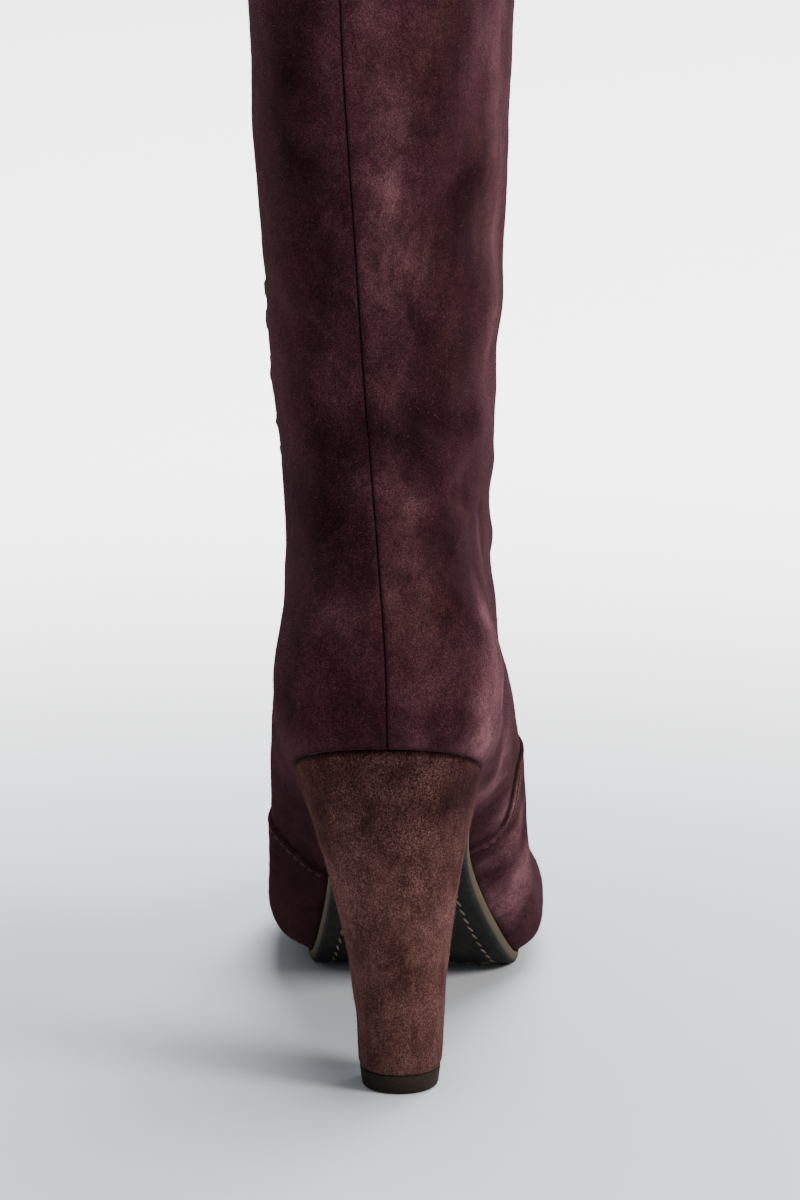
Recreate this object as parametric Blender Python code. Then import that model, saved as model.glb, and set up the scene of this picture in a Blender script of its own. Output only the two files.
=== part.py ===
"""Over-the-knee boot for the right foot, standing empty on its covered block heel and its sole.

Frame: metres, +Z up, toe towards -Y, outer (lateral) side towards -X. The origin is on the floor,
at the centre of the heel's top piece. All sizes below are in millimetres, and MM turns them to metres.
"""

import math
from collections import namedtuple

import bmesh
import bpy
import numpy as np
from mathutils import Matrix, Vector

MM = 0.001
GAP = 0.3  # clearance between neighbouring pieces

# --- driving dimensions -------------------------------------------------------------------------
WALL = 2.0  # suede, interlining and lining together
SEAT_BACK_Y = 24.0  # back end of the feather line
BREAST_Y = -27.0  # front face of the heel, at the seat
TOE_Y = -197.0  # front end of the feather line
TOP_PIECE = 5.6  # thickness of the rubber under the heel
TOP_PIECE_INSET = (1.0, 0.4)  # how far it stands inside the heel's tip, at the floor and at the top
HEEL_TIP_WIDTH = 24.6
HEEL_TIP_DEPTH = 22.0
HEEL_TIP_X = 0.0
TIP_FRONT_SHARE = 0.95  # width at the heel's breast over the tip's full width
TIP_ROUND_START = 0.38  # share of the tip's depth at which its rounded back begins
TIP_POWER = 2.1
HEEL_CONCAVITY = 1.72  # exponent of the heel's taper from the seat to the tip
SOLE_THICK = 3.6
SOLE_OVERHANG = 0.6  # how far the sole's edge stands out from the upper's feather line
SOLE_BEVEL = 1.6  # how much narrower the sole is at its bottom edge
INSOLE_THICK = 2.4
ZIP_SLOT = 8.0  # width of the gap between the two plackets
ZIP_GAP = 0.4  # between the tape's edge and the placket
ZIP_RECESS = 0.5  # how deep the tape's face lies below the suede's
ZIP_THICK = 1.2

# --- the last: sole line, feather line and the rings of the upper ---------------------------------
# Height of the joint along the boot: the upper stands GAP above this line, the sole's and heel's
# upper faces lie GAP below it.
SOLE_LINE = (
    # y, z
    (24.0, 108.0),
    (0.0, 97.4),
    (-25.0, 85.2),
    (-45.0, 71.6),
    (-62.0, 55.6),
    (-78.0, 38.2),
    (-92.0, 22.8),
    (-104.0, 11.4),
    (-112.0, 6.2),
    (-121.0, 3.9),
    (-130.0, 3.9),
    (-168.0, 3.9),
    (-180.0, 4.9),
    (-190.0, 6.6),
    (-198.0, 9.0),
)

# Each ring runs once round the upper, level with the last: from the centre of the back, along both
# sides, to the centre of the front. seat, waist and ball are half widths on the outer (o) and inner (i)
# side; back_round and front_round are the lengths over which the ends close; follow is how much of
# the sole line's bend the ring keeps; back_x and front_x move its ends off the middle plane.
Ring = namedtuple(
    "Ring",
    "back_y back_z back_x front_y front_z front_x seat_o seat_i waist_o waist_i ball_o ball_i"
    " back_round front_round follow",
)
FOOT_RINGS = (
    # back: y, z, x | front: y, z, x | seat: o, i | waist: o, i | ball: o, i | back_round, front_round, follow
    Ring(24.0, 108.0, 3.1, -197.0, 8.9, 2.0, 26.3, 28.0, 21.5, 19.5, 36.5, 29.5, 27, 64, 1.00),
    Ring(26.4, 113.5, 3.1, -200.5, 14.0, 2.0, 29.4, 31.0, 29.0, 27.0, 42.0, 37.5, 29, 62, 1.00),
    Ring(28.0, 121.5, 3.2, -199.5, 21.0, 2.0, 31.6, 33.0, 34.0, 33.5, 43.6, 41.0, 31, 62, 0.97),
    Ring(28.0, 131.0, 3.4, -193.0, 28.0, 1.9, 32.4, 33.8, 36.4, 37.0, 42.2, 41.0, 32, 64, 0.92),
    Ring(26.0, 141.5, 4.0, -180.5, 34.0, 1.4, 33.2, 33.4, 37.6, 37.6, 39.8, 39.5, 34, 68, 0.84),
    Ring(22.5, 152.5, 4.9, -164.0, 42.5, 0.6, 32.2, 31.6, 37.4, 36.0, 37.5, 37.5, 36, 74, 0.74),
    Ring(18.5, 163.5, 5.9, -147.0, 54.5, -0.4, 30.2, 29.6, 35.0, 33.6, 35.0, 35.0, 38, 78, 0.62),
    Ring(14.5, 174.5, 6.9, -132.0, 71.5, -1.4, 29.0, 28.8, 32.0, 31.6, 32.6, 32.6, 40, 76, 0.50),
    Ring(11.3, 185.5, 7.9, -120.0, 92.0, -2.0, 28.7, 28.7, 30.2, 30.4, 31.0, 31.0, 42, 72, 0.38),
    Ring(9.0, 196.5, 8.9, -110.5, 114.5, -2.0, 29.2, 29.2, 29.8, 30.0, 30.2, 30.2, 44, 66, 0.27),
    Ring(8.0, 207.5, 9.8, -102.5, 138.5, -1.6, 29.9, 29.9, 30.0, 30.0, 30.0, 30.0, 46, 60, 0.18),
    Ring(7.8, 219.5, 10.6, -96.0, 163.5, -0.4, 30.8, 30.8, 30.8, 30.8, 30.8, 30.8, 47, 55, 0.10),
    Ring(8.4, 232.0, 11.4, -91.5, 189.0, -0.2, 31.8, 31.8, 31.8, 31.8, 31.8, 31.8, 48, 52, 0.05),
)
# Above the ankle a ring is an ellipse, and its two ends stand apart sideways where the shaft twists.
ShaftRing = namedtuple("ShaftRing", "back_z front_z back_y front_y back_x front_x half_width")
SHAFT_RINGS = (
    # back z, front z | back y, front y | back x, front x | half width
    ShaftRing(246.5, 215.5, 10.0, -89.0, 12.2, -0.8, 33.2),
    ShaftRing(264.0, 243.5, 12.8, -88.3, 13.2, -2.0, 34.2),
    ShaftRing(284.0, 273.0, 16.5, -88.8, 14.4, -3.2, 35.0),
    ShaftRing(305.0, 302.0, 20.6, -89.8, 15.5, -4.2, 35.5),
    ShaftRing(330.0, 330.0, 25.0, -91.2, 16.2, -4.8, 37.0),
    ShaftRing(359.0, 359.0, 29.5, -92.5, 16.5, -5.2, 40.4),
    ShaftRing(388.0, 388.0, 33.0, -93.5, 16.5, -5.4, 44.2),
    ShaftRing(417.0, 417.0, 35.0, -94.2, 16.3, -5.5, 47.0),
    ShaftRing(446.0, 446.0, 35.4, -94.4, 16.0, -5.6, 48.4),
    ShaftRing(475.0, 475.0, 34.6, -94.3, 15.8, -5.6, 48.8),
    ShaftRing(504.0, 504.0, 33.6, -94.3, 15.6, -5.6, 49.4),
    ShaftRing(533.0, 533.0, 33.2, -94.8, 15.5, -5.6, 51.2),
    ShaftRing(562.0, 562.0, 33.8, -96.0, 15.5, -5.6, 54.0),
    ShaftRing(590.0, 591.0, 35.2, -97.8, 15.5, -5.6, 56.8),
    ShaftRing(611.0, 614.0, 36.6, -99.2, 15.5, -5.6, 58.6),
    ShaftRing(626.0, 630.0, 37.2, -100.0, 15.5, -5.6, 59.4),
)


def shaft_ring(row):
    """The full ring of a row of the shaft's table."""
    half_depth = (row.back_y - row.front_y) / 2
    return Ring(
        row.back_y, row.back_z, row.back_x, row.front_y, row.front_z, row.front_x,
        *(row.half_width,) * 6, half_depth, half_depth, 0.0,
    )


RINGS = FOOT_RINGS + tuple(shaft_ring(row) for row in SHAFT_RINGS)
SEAT_Y = -6.0  # places along the boot at which the half widths hold
WAIST_Y = -62.0
BALL_OUT_Y = -122.0
BALL_IN_Y = -134.0
END_POWER = 2.15  # 2 gives elliptical ends, more gives fuller ones

# The zip's middle line down the inner side.
ZIP_LINE = (
    # z, y
    (80.0, -68.0),
    (110.0, -60.0),
    (150.0, -52.0),
    (200.0, -45.0),
    (260.0, -40.0),
    (317.0, -37.0),
    (400.0, -33.0),
    (640.0, -32.0),
)
BACK_COLUMNS = 8  # columns from the back seam to the zip, and as many on the outer side
FRONT_COLUMNS = 12  # columns from the zip to the front
FRONT_CROWDING = 1.12  # how much closer the columns stand towards the toe
DENSE = 700  # samples along one side of a ring before it is divided evenly


def smooth_spline(xs, ys):
    """Natural cubic spline through the points (xs, ys), as a function of x."""
    xs, ys = np.array(xs, float), np.array(ys, float)
    step = np.diff(xs)
    count = len(xs)
    matrix, right = np.eye(count), np.zeros(count)
    for i in range(1, count - 1):
        matrix[i, i - 1 : i + 2] = step[i - 1], 2 * (step[i - 1] + step[i]), step[i]
        right[i] = 6 * ((ys[i + 1] - ys[i]) / step[i] - (ys[i] - ys[i - 1]) / step[i - 1])
    bend = np.linalg.solve(matrix, right)

    def value(x):
        x = np.clip(x, xs[0], xs[-1])
        i = np.clip(np.searchsorted(xs, x) - 1, 0, count - 2)
        h, a, b = step[i], xs[i + 1] - x, x - xs[i]
        cubic = (bend[i] * a**3 + bend[i + 1] * b**3) / (6 * h)
        return cubic + (ys[i] / h - bend[i] * h / 6) * a + (ys[i + 1] / h - bend[i + 1] * h / 6) * b

    return value


def steady_curve(xs, ys):
    """Cubic curve through the points that never swings past them, as a function of x."""
    order = np.argsort(xs)
    xs, ys = np.array(xs, float)[order], np.array(ys, float)[order]
    step = np.diff(xs)
    slope = np.diff(ys) / step
    tangent = np.concatenate(([slope[0]], np.zeros(len(xs) - 2), [slope[-1]]))
    for i in range(1, len(xs) - 1):
        if slope[i - 1] * slope[i] > 0:
            first, second = 2 * step[i] + step[i - 1], step[i] + 2 * step[i - 1]
            tangent[i] = (first + second) / (first / slope[i - 1] + second / slope[i])

    def value(x):
        x = np.clip(x, xs[0], xs[-1])
        i = np.clip(np.searchsorted(xs, x) - 1, 0, len(xs) - 2)
        h = step[i]
        t = (x - xs[i]) / h
        rise = (2 * t**3 - 3 * t**2 + 1) * ys[i] + (3 * t**2 - 2 * t**3) * ys[i + 1]
        return rise + h * ((t**3 - 2 * t**2 + t) * tangent[i] + (t**3 - t**2) * tangent[i + 1])

    return value


sole_height = steady_curve(*zip(*SOLE_LINE))
zip_y_at = steady_curve(*zip(*ZIP_LINE))
ring_columns = [smooth_spline(range(len(RINGS)), column) for column in zip(*RINGS)]


def ring_at(v):
    """The ring at v, where v counts the rows of RINGS and may lie between two of them."""
    return Ring(*(column(v) for column in ring_columns))


def side_curve(ring, side):
    """Dense points of one side of a ring, from the back to the front. side is -1 outer, +1 inner."""
    outer = side < 0
    length = ring.back_y - ring.front_y
    turn = np.linspace(0.0, math.pi, DENSE)
    t = (1 - np.cos(turn)) / 2
    y = ring.back_y - length * t
    widths = (
        (ring.seat_o, ring.waist_o, ring.ball_o) if outer else (ring.seat_i, ring.waist_i, ring.ball_i)
    )
    ball_y = BALL_OUT_Y if outer else BALL_IN_Y
    width_at = steady_curve(
        (40.0, SEAT_Y, WAIST_Y, ball_y, -210.0), (widths[0], widths[0], widths[1], widths[2], widths[2])
    )
    back = np.clip((ring.back_y - y) / ring.back_round, 0, 1)
    front = np.clip((y - ring.front_y) / ring.front_round, 0, 1)
    closing = ((1 - (1 - back) ** END_POWER) * (1 - (1 - front) ** END_POWER)) ** (1 / END_POWER)
    x = ring.back_x + (ring.front_x - ring.back_x) * t + side * width_at(y) * closing
    foot_y = SEAT_BACK_Y - t * (SEAT_BACK_Y - TOE_Y)
    sole_drop = sole_height(SEAT_BACK_Y) - sole_height(foot_y)
    bent = sole_drop / sole_drop[-1]
    z = ring.back_z + (ring.front_z - ring.back_z) * (ring.follow * bent + (1 - ring.follow) * t)
    return np.stack((x, y, z), axis=1)


def arc_positions(points):
    """Distance of each point from the first, along the curve."""
    return np.concatenate(([0.0], np.cumsum(np.linalg.norm(np.diff(points, axis=0), axis=1))))


def points_at(points, positions):
    """Points of a dense curve at the given distances from its start."""
    along = arc_positions(points)
    return np.stack([np.interp(positions, along, points[:, k]) for k in range(3)], axis=1)


def column_positions(points, half_slot):
    """Distances, from the back, of the mesh's columns: evenly to the zip, across it, and on to the front."""
    along = arc_positions(points)
    centre = np.interp(0.0, zip_y_at(points[:, 2]) - points[:, 1], along)
    to_zip = np.linspace(0.0, centre - half_slot, BACK_COLUMNS + 1)
    share = np.linspace(0.0, 1.0, FRONT_COLUMNS + 1)
    to_front = centre + half_slot + (along[-1] - centre - half_slot) * (1 - (1 - share) ** FRONT_CROWDING)
    return np.concatenate((to_zip, to_front))


def ring_points(v):
    """One ring of the upper's outer face, from the back, round the inner side and back by the outer."""
    ring = ring_at(v)
    inner, outer = side_curve(ring, 1), side_curve(ring, -1)
    inner = points_at(inner, column_positions(inner, ZIP_SLOT / 2))
    outer = points_at(outer, column_positions(outer, ZIP_SLOT / 2))
    return np.concatenate((inner, outer[-2:0:-1]))


# --- the sole's outlines --------------------------------------------------------------------------
PLATE_ROWS = 34
INSOLE_ROWS = 40
TOE_CROWDING = 1.8  # how much closer the rows of a plate stand at its rounded ends


def feather_outline(offset):
    """The feather line in plan, moved outwards by offset: (ys, inner xs, outer xs), front to back."""
    sides = []
    for side in (1, -1):
        curve = side_curve(RINGS[0], side)[:, :2]
        along = np.gradient(curve, axis=0)
        normal = np.stack((-along[:, 1], along[:, 0]), axis=1) * side
        normal /= np.maximum(np.linalg.norm(normal, axis=1), 1e-9)[:, None]
        sides.append((curve + normal * offset)[::-1])
    ys = np.linspace(TOE_Y - offset, SEAT_BACK_Y + offset, 4 * DENSE)
    inner = np.interp(ys, sides[0][:, 1], sides[0][:, 0])
    outer = np.interp(ys, sides[1][:, 1], sides[1][:, 0])
    return ys, inner, outer


def outline_rows(offset, rear_y, front_y, rows=PLATE_ROWS, round_rear=False, round_front=False):
    """Rows (y, inner x, outer x) across the outline from rear_y to front_y; a round end is one point."""
    ys, inner, outer = feather_outline(offset)
    share = np.linspace(0.0, 1.0, rows)
    if round_front:
        share = 1 - (1 - share) ** TOE_CROWDING
    if round_rear:
        share = share**TOE_CROWDING
    if round_rear and round_front:
        share = (1 - np.cos(np.linspace(0.0, math.pi, rows))) / 2
    places = rear_y + (front_y - rear_y) * share
    table = np.stack((places, np.interp(places, ys, inner), np.interp(places, ys, outer)), axis=1)
    for closed, row in ((round_rear, 0), (round_front, -1)):
        if closed:
            table[row, 1:] = table[row, 1:].mean()
    return table


def sole_top(y):
    """Height of the upper face of the sole and of the heel's seat."""
    return sole_height(y) - GAP


def sole_underside(y):
    """Height of the sole's lower face: SOLE_THICK below the upper one, and level on the floor."""
    slope = (sole_height(y + 1.0) - sole_height(y - 1.0)) / 2.0
    return max(0.0, sole_top(y) - SOLE_THICK * math.hypot(1.0, slope))


# --- Blender helpers ------------------------------------------------------------------------------
def finish(name, colour, roughness, metallic=0.0):
    """A plain material with the piece's colour (linear), roughness and metallic value."""
    material = bpy.data.materials.new(name)
    material.use_nodes = True
    shader = material.node_tree.nodes["Principled BSDF"]
    shader.inputs["Base Color"].default_value = (*colour, 1.0)
    shader.inputs["Roughness"].default_value = roughness
    shader.inputs["Metallic"].default_value = metallic
    return material


def make_object(name, bm, material, smooth_angle=40.0, matrix=None):
    """Turns a bmesh in millimetres into an object in metres, smooth shaded below smooth_angle."""
    bmesh.ops.scale(bm, vec=Vector((MM, MM, MM)), verts=bm.verts)
    mesh = bpy.data.meshes.new(name)
    bm.to_mesh(mesh)
    bm.free()
    mesh.shade_smooth()
    mesh.set_sharp_from_angle(angle=math.radians(smooth_angle))
    mesh.materials.append(material)
    thing = bpy.data.objects.new(name, mesh)
    bpy.context.scene.collection.objects.link(thing)
    if matrix is not None:
        thing.matrix_world = matrix
    return thing


def add_modifier(thing, kind, **settings):
    """Adds a modifier and sets its values."""
    modifier = thing.modifiers.new(kind.title(), kind)
    for key, value in settings.items():
        setattr(modifier, key, value)
    return modifier


def level_vertices(bm, rows, height):
    """Vertices of one level: for each row (y, inner x, outer x) a pair, or one vertex at a round end."""
    pairs = []
    for y, inner, outer in rows:
        z = height(y)
        first = bm.verts.new((inner, y, z))
        pairs.append((first, first if inner == outer else bm.verts.new((outer, y, z))))
    return pairs


def stack_levels(bm, levels):
    """Closes the solid between levels of vertex pairs: walls between levels, caps on the first and last."""
    for level in (levels[0], levels[-1]):
        for here, beyond in zip(level, level[1:]):
            corners = [here[0], beyond[0], beyond[1], here[1]]
            bm.faces.new(list(dict.fromkeys(corners)))
    for low, high in zip(levels, levels[1:]):
        for side in (0, 1):
            for k in range(len(low) - 1):
                bm.faces.new((low[k][side], low[k + 1][side], high[k + 1][side], high[k][side]))
        for k in (0, -1):
            if low[k][0] is not low[k][1]:
                bm.faces.new((low[k][0], low[k][1], high[k][1], high[k][0]))
    bmesh.ops.recalc_face_normals(bm, faces=bm.faces)


def box_bmesh(low, high):
    """A box between two corners, in millimetres."""
    bm = bmesh.new()
    bmesh.ops.create_cube(bm, size=1.0)
    size = Vector(high) - Vector(low)
    bmesh.ops.scale(bm, vec=size, verts=bm.verts)
    bmesh.ops.translate(bm, vec=(Vector(high) + Vector(low)) / 2, verts=bm.verts)
    return bm


# --- upper ----------------------------------------------------------------------------------------
ZIP_FIRST_RING = 5
ZIP_LAST_RING = 22


def upper_ring(v):
    """A ring of the upper's outer face at v, standing GAP above the sole; between rows it is straight."""
    low = math.floor(v)
    points = ring_points(low)
    if v > low:
        points = points * (low + 1 - v) + ring_points(low + 1) * (v - low)
    return points + np.array((0.0, 0.0, GAP))


def make_upper(material):
    """The hollow upper: rings bridged into one skin, the zip's slot left open, then given its wall."""
    bm = bmesh.new()
    rings = [[bm.verts.new(p) for p in upper_ring(v)] for v in range(len(RINGS))]
    for v, (low, high) in enumerate(zip(rings, rings[1:])):
        for k in range(len(low)):
            beyond = (k + 1) % len(low)
            if k == BACK_COLUMNS and ZIP_FIRST_RING <= v < ZIP_LAST_RING:
                continue
            bm.faces.new((low[k], high[k], high[beyond], low[beyond]))
    thing = make_object("upper", bm, material, smooth_angle=60.0)
    add_modifier(thing, "SOLIDIFY", thickness=WALL * MM, offset=-1.0, use_even_offset=True)
    return thing


# --- sole, insole, heel ---------------------------------------------------------------------------
def make_outsole(material):
    """The thin sole from the heel's breast to the toe, flat under the ball and sprung at the toe."""
    rows = (BREAST_Y - GAP, TOE_Y - SOLE_OVERHANG)
    top = outline_rows(SOLE_OVERHANG, *rows, round_front=True)
    bottom = outline_rows(SOLE_OVERHANG - SOLE_BEVEL, rows[0], rows[1] + SOLE_BEVEL, round_front=True)
    bm = bmesh.new()
    stack_levels(bm, [level_vertices(bm, top, sole_top), level_vertices(bm, bottom, sole_underside)])
    return make_object("outsole", bm, material)


def make_insole(material):
    """The insole board, inside the wall of the upper, from the back of the seat to the toe."""
    inset = WALL + 3 * GAP
    rows = outline_rows(
        -inset, SEAT_BACK_Y - inset, TOE_Y + inset, INSOLE_ROWS, round_rear=True, round_front=True
    )
    bm = bmesh.new()
    low = level_vertices(bm, rows, lambda y: sole_height(y) + GAP)
    high = level_vertices(bm, rows, lambda y: sole_height(y) + GAP + INSOLE_THICK)
    stack_levels(bm, [low, high])
    return make_object("insole", bm, material)


HEEL_LEVELS = 9
HEEL_ROWS = 13
HEEL_OVERHANG = 0.4


def tip_rows(rows, margin=0.0):
    """The heel's D-shaped outline at the top piece: flat breast, round back."""
    depth, half = HEEL_TIP_DEPTH - 2 * margin, HEEL_TIP_WIDTH / 2 - margin
    share = (rows[:, 0] - rows[0, 0]) / (rows[-1, 0] - rows[0, 0])
    rounding = np.clip((share - TIP_ROUND_START) / (1 - TIP_ROUND_START), 0, 1)
    swell = TIP_FRONT_SHARE + (1 - TIP_FRONT_SHARE) * np.clip(share / TIP_ROUND_START, 0, 1)
    widths = half * swell * (1 - rounding**TIP_POWER) ** (1 / TIP_POWER)
    table = np.stack((share * depth - depth / 2, HEEL_TIP_X + widths, HEEL_TIP_X - widths), axis=1)
    table[-1, 1:] = HEEL_TIP_X
    return table


def make_heel(material):
    """The covered heel: a D-section that tapers in a hollow curve from the seat to the tip."""
    seat = outline_rows(
        HEEL_OVERHANG, BREAST_Y, SEAT_BACK_Y + HEEL_OVERHANG, rows=HEEL_ROWS, round_front=True
    )
    tip = tip_rows(seat)
    bottom_z = TOP_PIECE + GAP
    bm = bmesh.new()
    levels = []
    for share in np.linspace(0.0, 1.0, HEEL_LEVELS):
        spread = share**HEEL_CONCAVITY
        pairs = []
        for near_tip, near_seat in zip(tip, seat):
            y, inner, outer = near_tip + (near_seat - near_tip) * spread
            z = bottom_z + (sole_top(near_seat[0]) - bottom_z) * share
            first = bm.verts.new((inner, y, z))
            pairs.append((first, first if inner == outer else bm.verts.new((outer, y, z))))
        levels.append(pairs)
    stack_levels(bm, levels)
    return make_object("heel", bm, material)


def make_top_piece(material):
    """The rubber top piece under the heel, slightly narrower at the floor."""
    seat = outline_rows(0.0, BREAST_Y, SEAT_BACK_Y, rows=HEEL_ROWS, round_front=True)
    bm = bmesh.new()
    low = level_vertices(bm, tip_rows(seat, margin=TOP_PIECE_INSET[0]), lambda y: 0.0)
    high = level_vertices(bm, tip_rows(seat, margin=TOP_PIECE_INSET[1]), lambda y: TOP_PIECE)
    stack_levels(bm, [low, high])
    return make_object("top_piece", bm, material)


# --- zip ------------------------------------------------------------------------------------------
CHAIN_START = 0.1  # rings between the slot's lower end and the chain
CHAIN_END_RING = ZIP_LAST_RING - 0.3
# Opposite corners of the slider's boxes: across the zip, up along it, out of the upper.
SLIDER_PLATE = ((-3.5, -9.0, -0.2), (3.5, 3.6, 1.2))
SLIDER_BACK = ((-3.5, -9.0, -3.2), (3.5, 3.6, -2.0))
SLIDER_POST = ((-1.5, 0.6, -2.6), (1.5, 3.4, 0.5))
CROWN_LEGS = ((-6.6, -5.4), (0.2, 1.4))  # along the zip
CROWN_TOP = (3.4, 4.6)  # above the upper's surface
CROWN_HALF = 0.9
SINK = 0.3  # how deep a leg sinks into the piece that it stands on
PULL_AXIS = (-2.6, 2.3)  # along the zip, and above the upper's surface
PULL_BAR = 0.65
PULL_ARM = (1.35, 2.75)  # the window's side bars, from the middle
PULL_THICK = 1.2
PULL_WINDOW = 5.3
PULL_LENGTH = 27.0
PULL_HALF = 3.1
PULL_CORNER = (1.4, 3.0)  # width and length cut off each corner of the free end


def slot_edges(v):
    """The two edges of the zip's slot at v, and the upper's outward normal between them."""
    here, above, below = (upper_ring(w) for w in (v, v + 0.1, v - 0.1))
    first, second = here[BACK_COLUMNS], here[BACK_COLUMNS + 1]
    across = (second - first) / np.linalg.norm(second - first)
    along = above[BACK_COLUMNS] + above[BACK_COLUMNS + 1] - below[BACK_COLUMNS] - below[BACK_COLUMNS + 1]
    normal = np.cross(across, along)
    normal /= np.linalg.norm(normal)
    return first + across * ZIP_GAP, second - across * ZIP_GAP, normal if normal[0] > 0 else -normal


def make_zip_chain(material):
    """Tape and closed teeth: a strip that fills the slot, a little below the suede's face."""
    bm = bmesh.new()
    places = [ZIP_FIRST_RING + CHAIN_START, *range(ZIP_FIRST_RING + 1, ZIP_LAST_RING), CHAIN_END_RING]
    levels = []
    for v in places:
        first, second, normal = slot_edges(v)
        corners = (
            first - normal * ZIP_RECESS,
            second - normal * ZIP_RECESS,
            second - normal * (ZIP_RECESS + ZIP_THICK),
            first - normal * (ZIP_RECESS + ZIP_THICK),
        )
        levels.append([bm.verts.new(corner) for corner in corners])
    for low, high in zip(levels, levels[1:]):
        for k in range(4):
            bm.faces.new((low[k], low[(k + 1) % 4], high[(k + 1) % 4], high[k]))
    bm.faces.new(levels[0])
    bm.faces.new(levels[-1])
    bmesh.ops.recalc_face_normals(bm, faces=bm.faces)
    return make_object("zip_chain", bm, material)


def zip_frame():
    """Matrix of the slider's own frame: X across the zip, Y up along it, Z out of the upper."""
    first, second, normal = slot_edges(CHAIN_END_RING)
    across = Vector(second - first).normalized()
    outward = Vector(normal).normalized()
    upward = outward.cross(across)
    if upward.z < 0:
        across, upward = -across, -upward
    turn = Matrix((across, upward, outward)).transposed().to_4x4()
    return Matrix.Translation(Vector((first + second) / 2) * MM) @ turn


def cutter_like(name, bm, matrix):
    """A helper solid for a Boolean: hidden in renders and drawn as wire."""
    thing = make_object(name, bm, bpy.data.materials["guide"], matrix=matrix)
    thing.hide_render = True
    thing.display_type = "WIRE"
    return thing


def make_zip_slider(material):
    """The slider: a plate on each side of the chain, a post above its end, and a crown for the pull."""
    frame = zip_frame()
    thing = make_object("zip_slider", box_bmesh(*SLIDER_PLATE), material, matrix=frame)
    sunk = SLIDER_PLATE[1][2] - SINK
    pieces = [box_bmesh(*SLIDER_BACK), box_bmesh(*SLIDER_POST)]
    for low, high in CROWN_LEGS:
        pieces.append(box_bmesh((-CROWN_HALF, low, sunk), (CROWN_HALF, high, CROWN_TOP[0] + SINK)))
    crown_low = (-CROWN_HALF, CROWN_LEGS[0][0], CROWN_TOP[0])
    pieces.append(box_bmesh(crown_low, (CROWN_HALF, CROWN_LEGS[1][1], CROWN_TOP[1])))
    for number, bm in enumerate(pieces):
        guide = cutter_like(f"slider_guide_{number}", bm, frame)
        add_modifier(thing, "BOOLEAN", operation="UNION", object=guide, solver="EXACT")
    return thing


def make_zip_pull(material):
    """The pull tab, hanging flat from a cross bar under the crown; its origin is on the bar's axis."""
    axis = Matrix.Translation(Vector((0.0, PULL_AXIS[0], PULL_AXIS[1])) * MM)
    place = zip_frame() @ axis
    bm = bmesh.new()
    half = PULL_THICK / 2
    window = PULL_ARM[0]
    outer_points = (
        (PULL_ARM[1], PULL_BAR),
        (PULL_HALF, -PULL_WINDOW),
        (PULL_HALF, -PULL_LENGTH + PULL_CORNER[1]),
        (PULL_HALF - PULL_CORNER[0], -PULL_LENGTH),
    )
    ring_out = [*outer_points, *((-x, y) for x, y in reversed(outer_points))]
    window_points = ((window, -PULL_BAR), (window, -PULL_WINDOW))
    ring_in = [*window_points, *((-x, y) for x, y in reversed(window_points))]
    faces = {}
    for z in (-half, half):
        out = [bm.verts.new((x, y, z)) for x, y in ring_out]
        hole = [bm.verts.new((x, y, z)) for x, y in ring_in]
        bm.faces.new((out[0], out[7], hole[3], hole[0]))
        bm.faces.new((out[0], hole[0], hole[1], out[1]))
        bm.faces.new((out[7], out[6], hole[2], hole[3]))
        bm.faces.new((hole[1], hole[2], out[6], out[1]))
        bm.faces.new((out[1], out[6], out[5], out[2]))
        bm.faces.new((out[2], out[5], out[4], out[3]))
        faces[z] = (out, hole)
    for low, high in zip(faces[-half], faces[half]):
        for k in range(len(low)):
            beyond = (k + 1) % len(low)
            bm.faces.new((low[k], low[beyond], high[beyond], high[k]))
    bmesh.ops.recalc_face_normals(bm, faces=bm.faces)
    return make_object("zip_pull", bm, material, matrix=place)


def main():
    """Clears the scene and makes the boot's eight pieces."""
    for thing in list(bpy.data.objects):
        bpy.data.objects.remove(thing)
    finish("guide", (0.8, 0.8, 0.8), 0.5)
    suede = finish("burgundy_suede", (0.055, 0.022, 0.022), 0.92)
    heel_suede = finish("heel_suede", (0.075, 0.032, 0.027), 0.92)
    sole_leather = finish("sole_leather", (0.035, 0.033, 0.032), 0.6)
    sock_leather = finish("sock_leather", (0.16, 0.10, 0.07), 0.7)
    rubber = finish("top_piece_rubber", (0.03, 0.018, 0.013), 0.55)
    tape = finish("zip_tape", (0.025, 0.012, 0.014), 0.8)
    metal = finish("zip_metal", (0.10, 0.08, 0.07), 0.35, metallic=1.0)
    make_upper(suede)
    make_insole(sock_leather)
    make_outsole(sole_leather)
    make_heel(heel_suede)
    make_top_piece(rubber)
    make_zip_chain(tape)
    make_zip_slider(metal)
    make_zip_pull(metal)


main()
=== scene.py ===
"""Looks of an over-the-knee suede boot for the right foot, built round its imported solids.

Lengths are in millimetres until a mesh is made, which is in metres: +Z up the shaft, toe towards -Y,
outer side towards -X. Each sub-assembly is a class that makes and dresses its own pieces.
"""

import logging
import math
from collections import namedtuple
from collections.abc import Callable, Sequence
from dataclasses import dataclass
from enum import Enum
from typing import Any

import bmesh
import bpy
import numpy as np
from mathutils import Matrix, Vector
from mathutils.kdtree import KDTree


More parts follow.
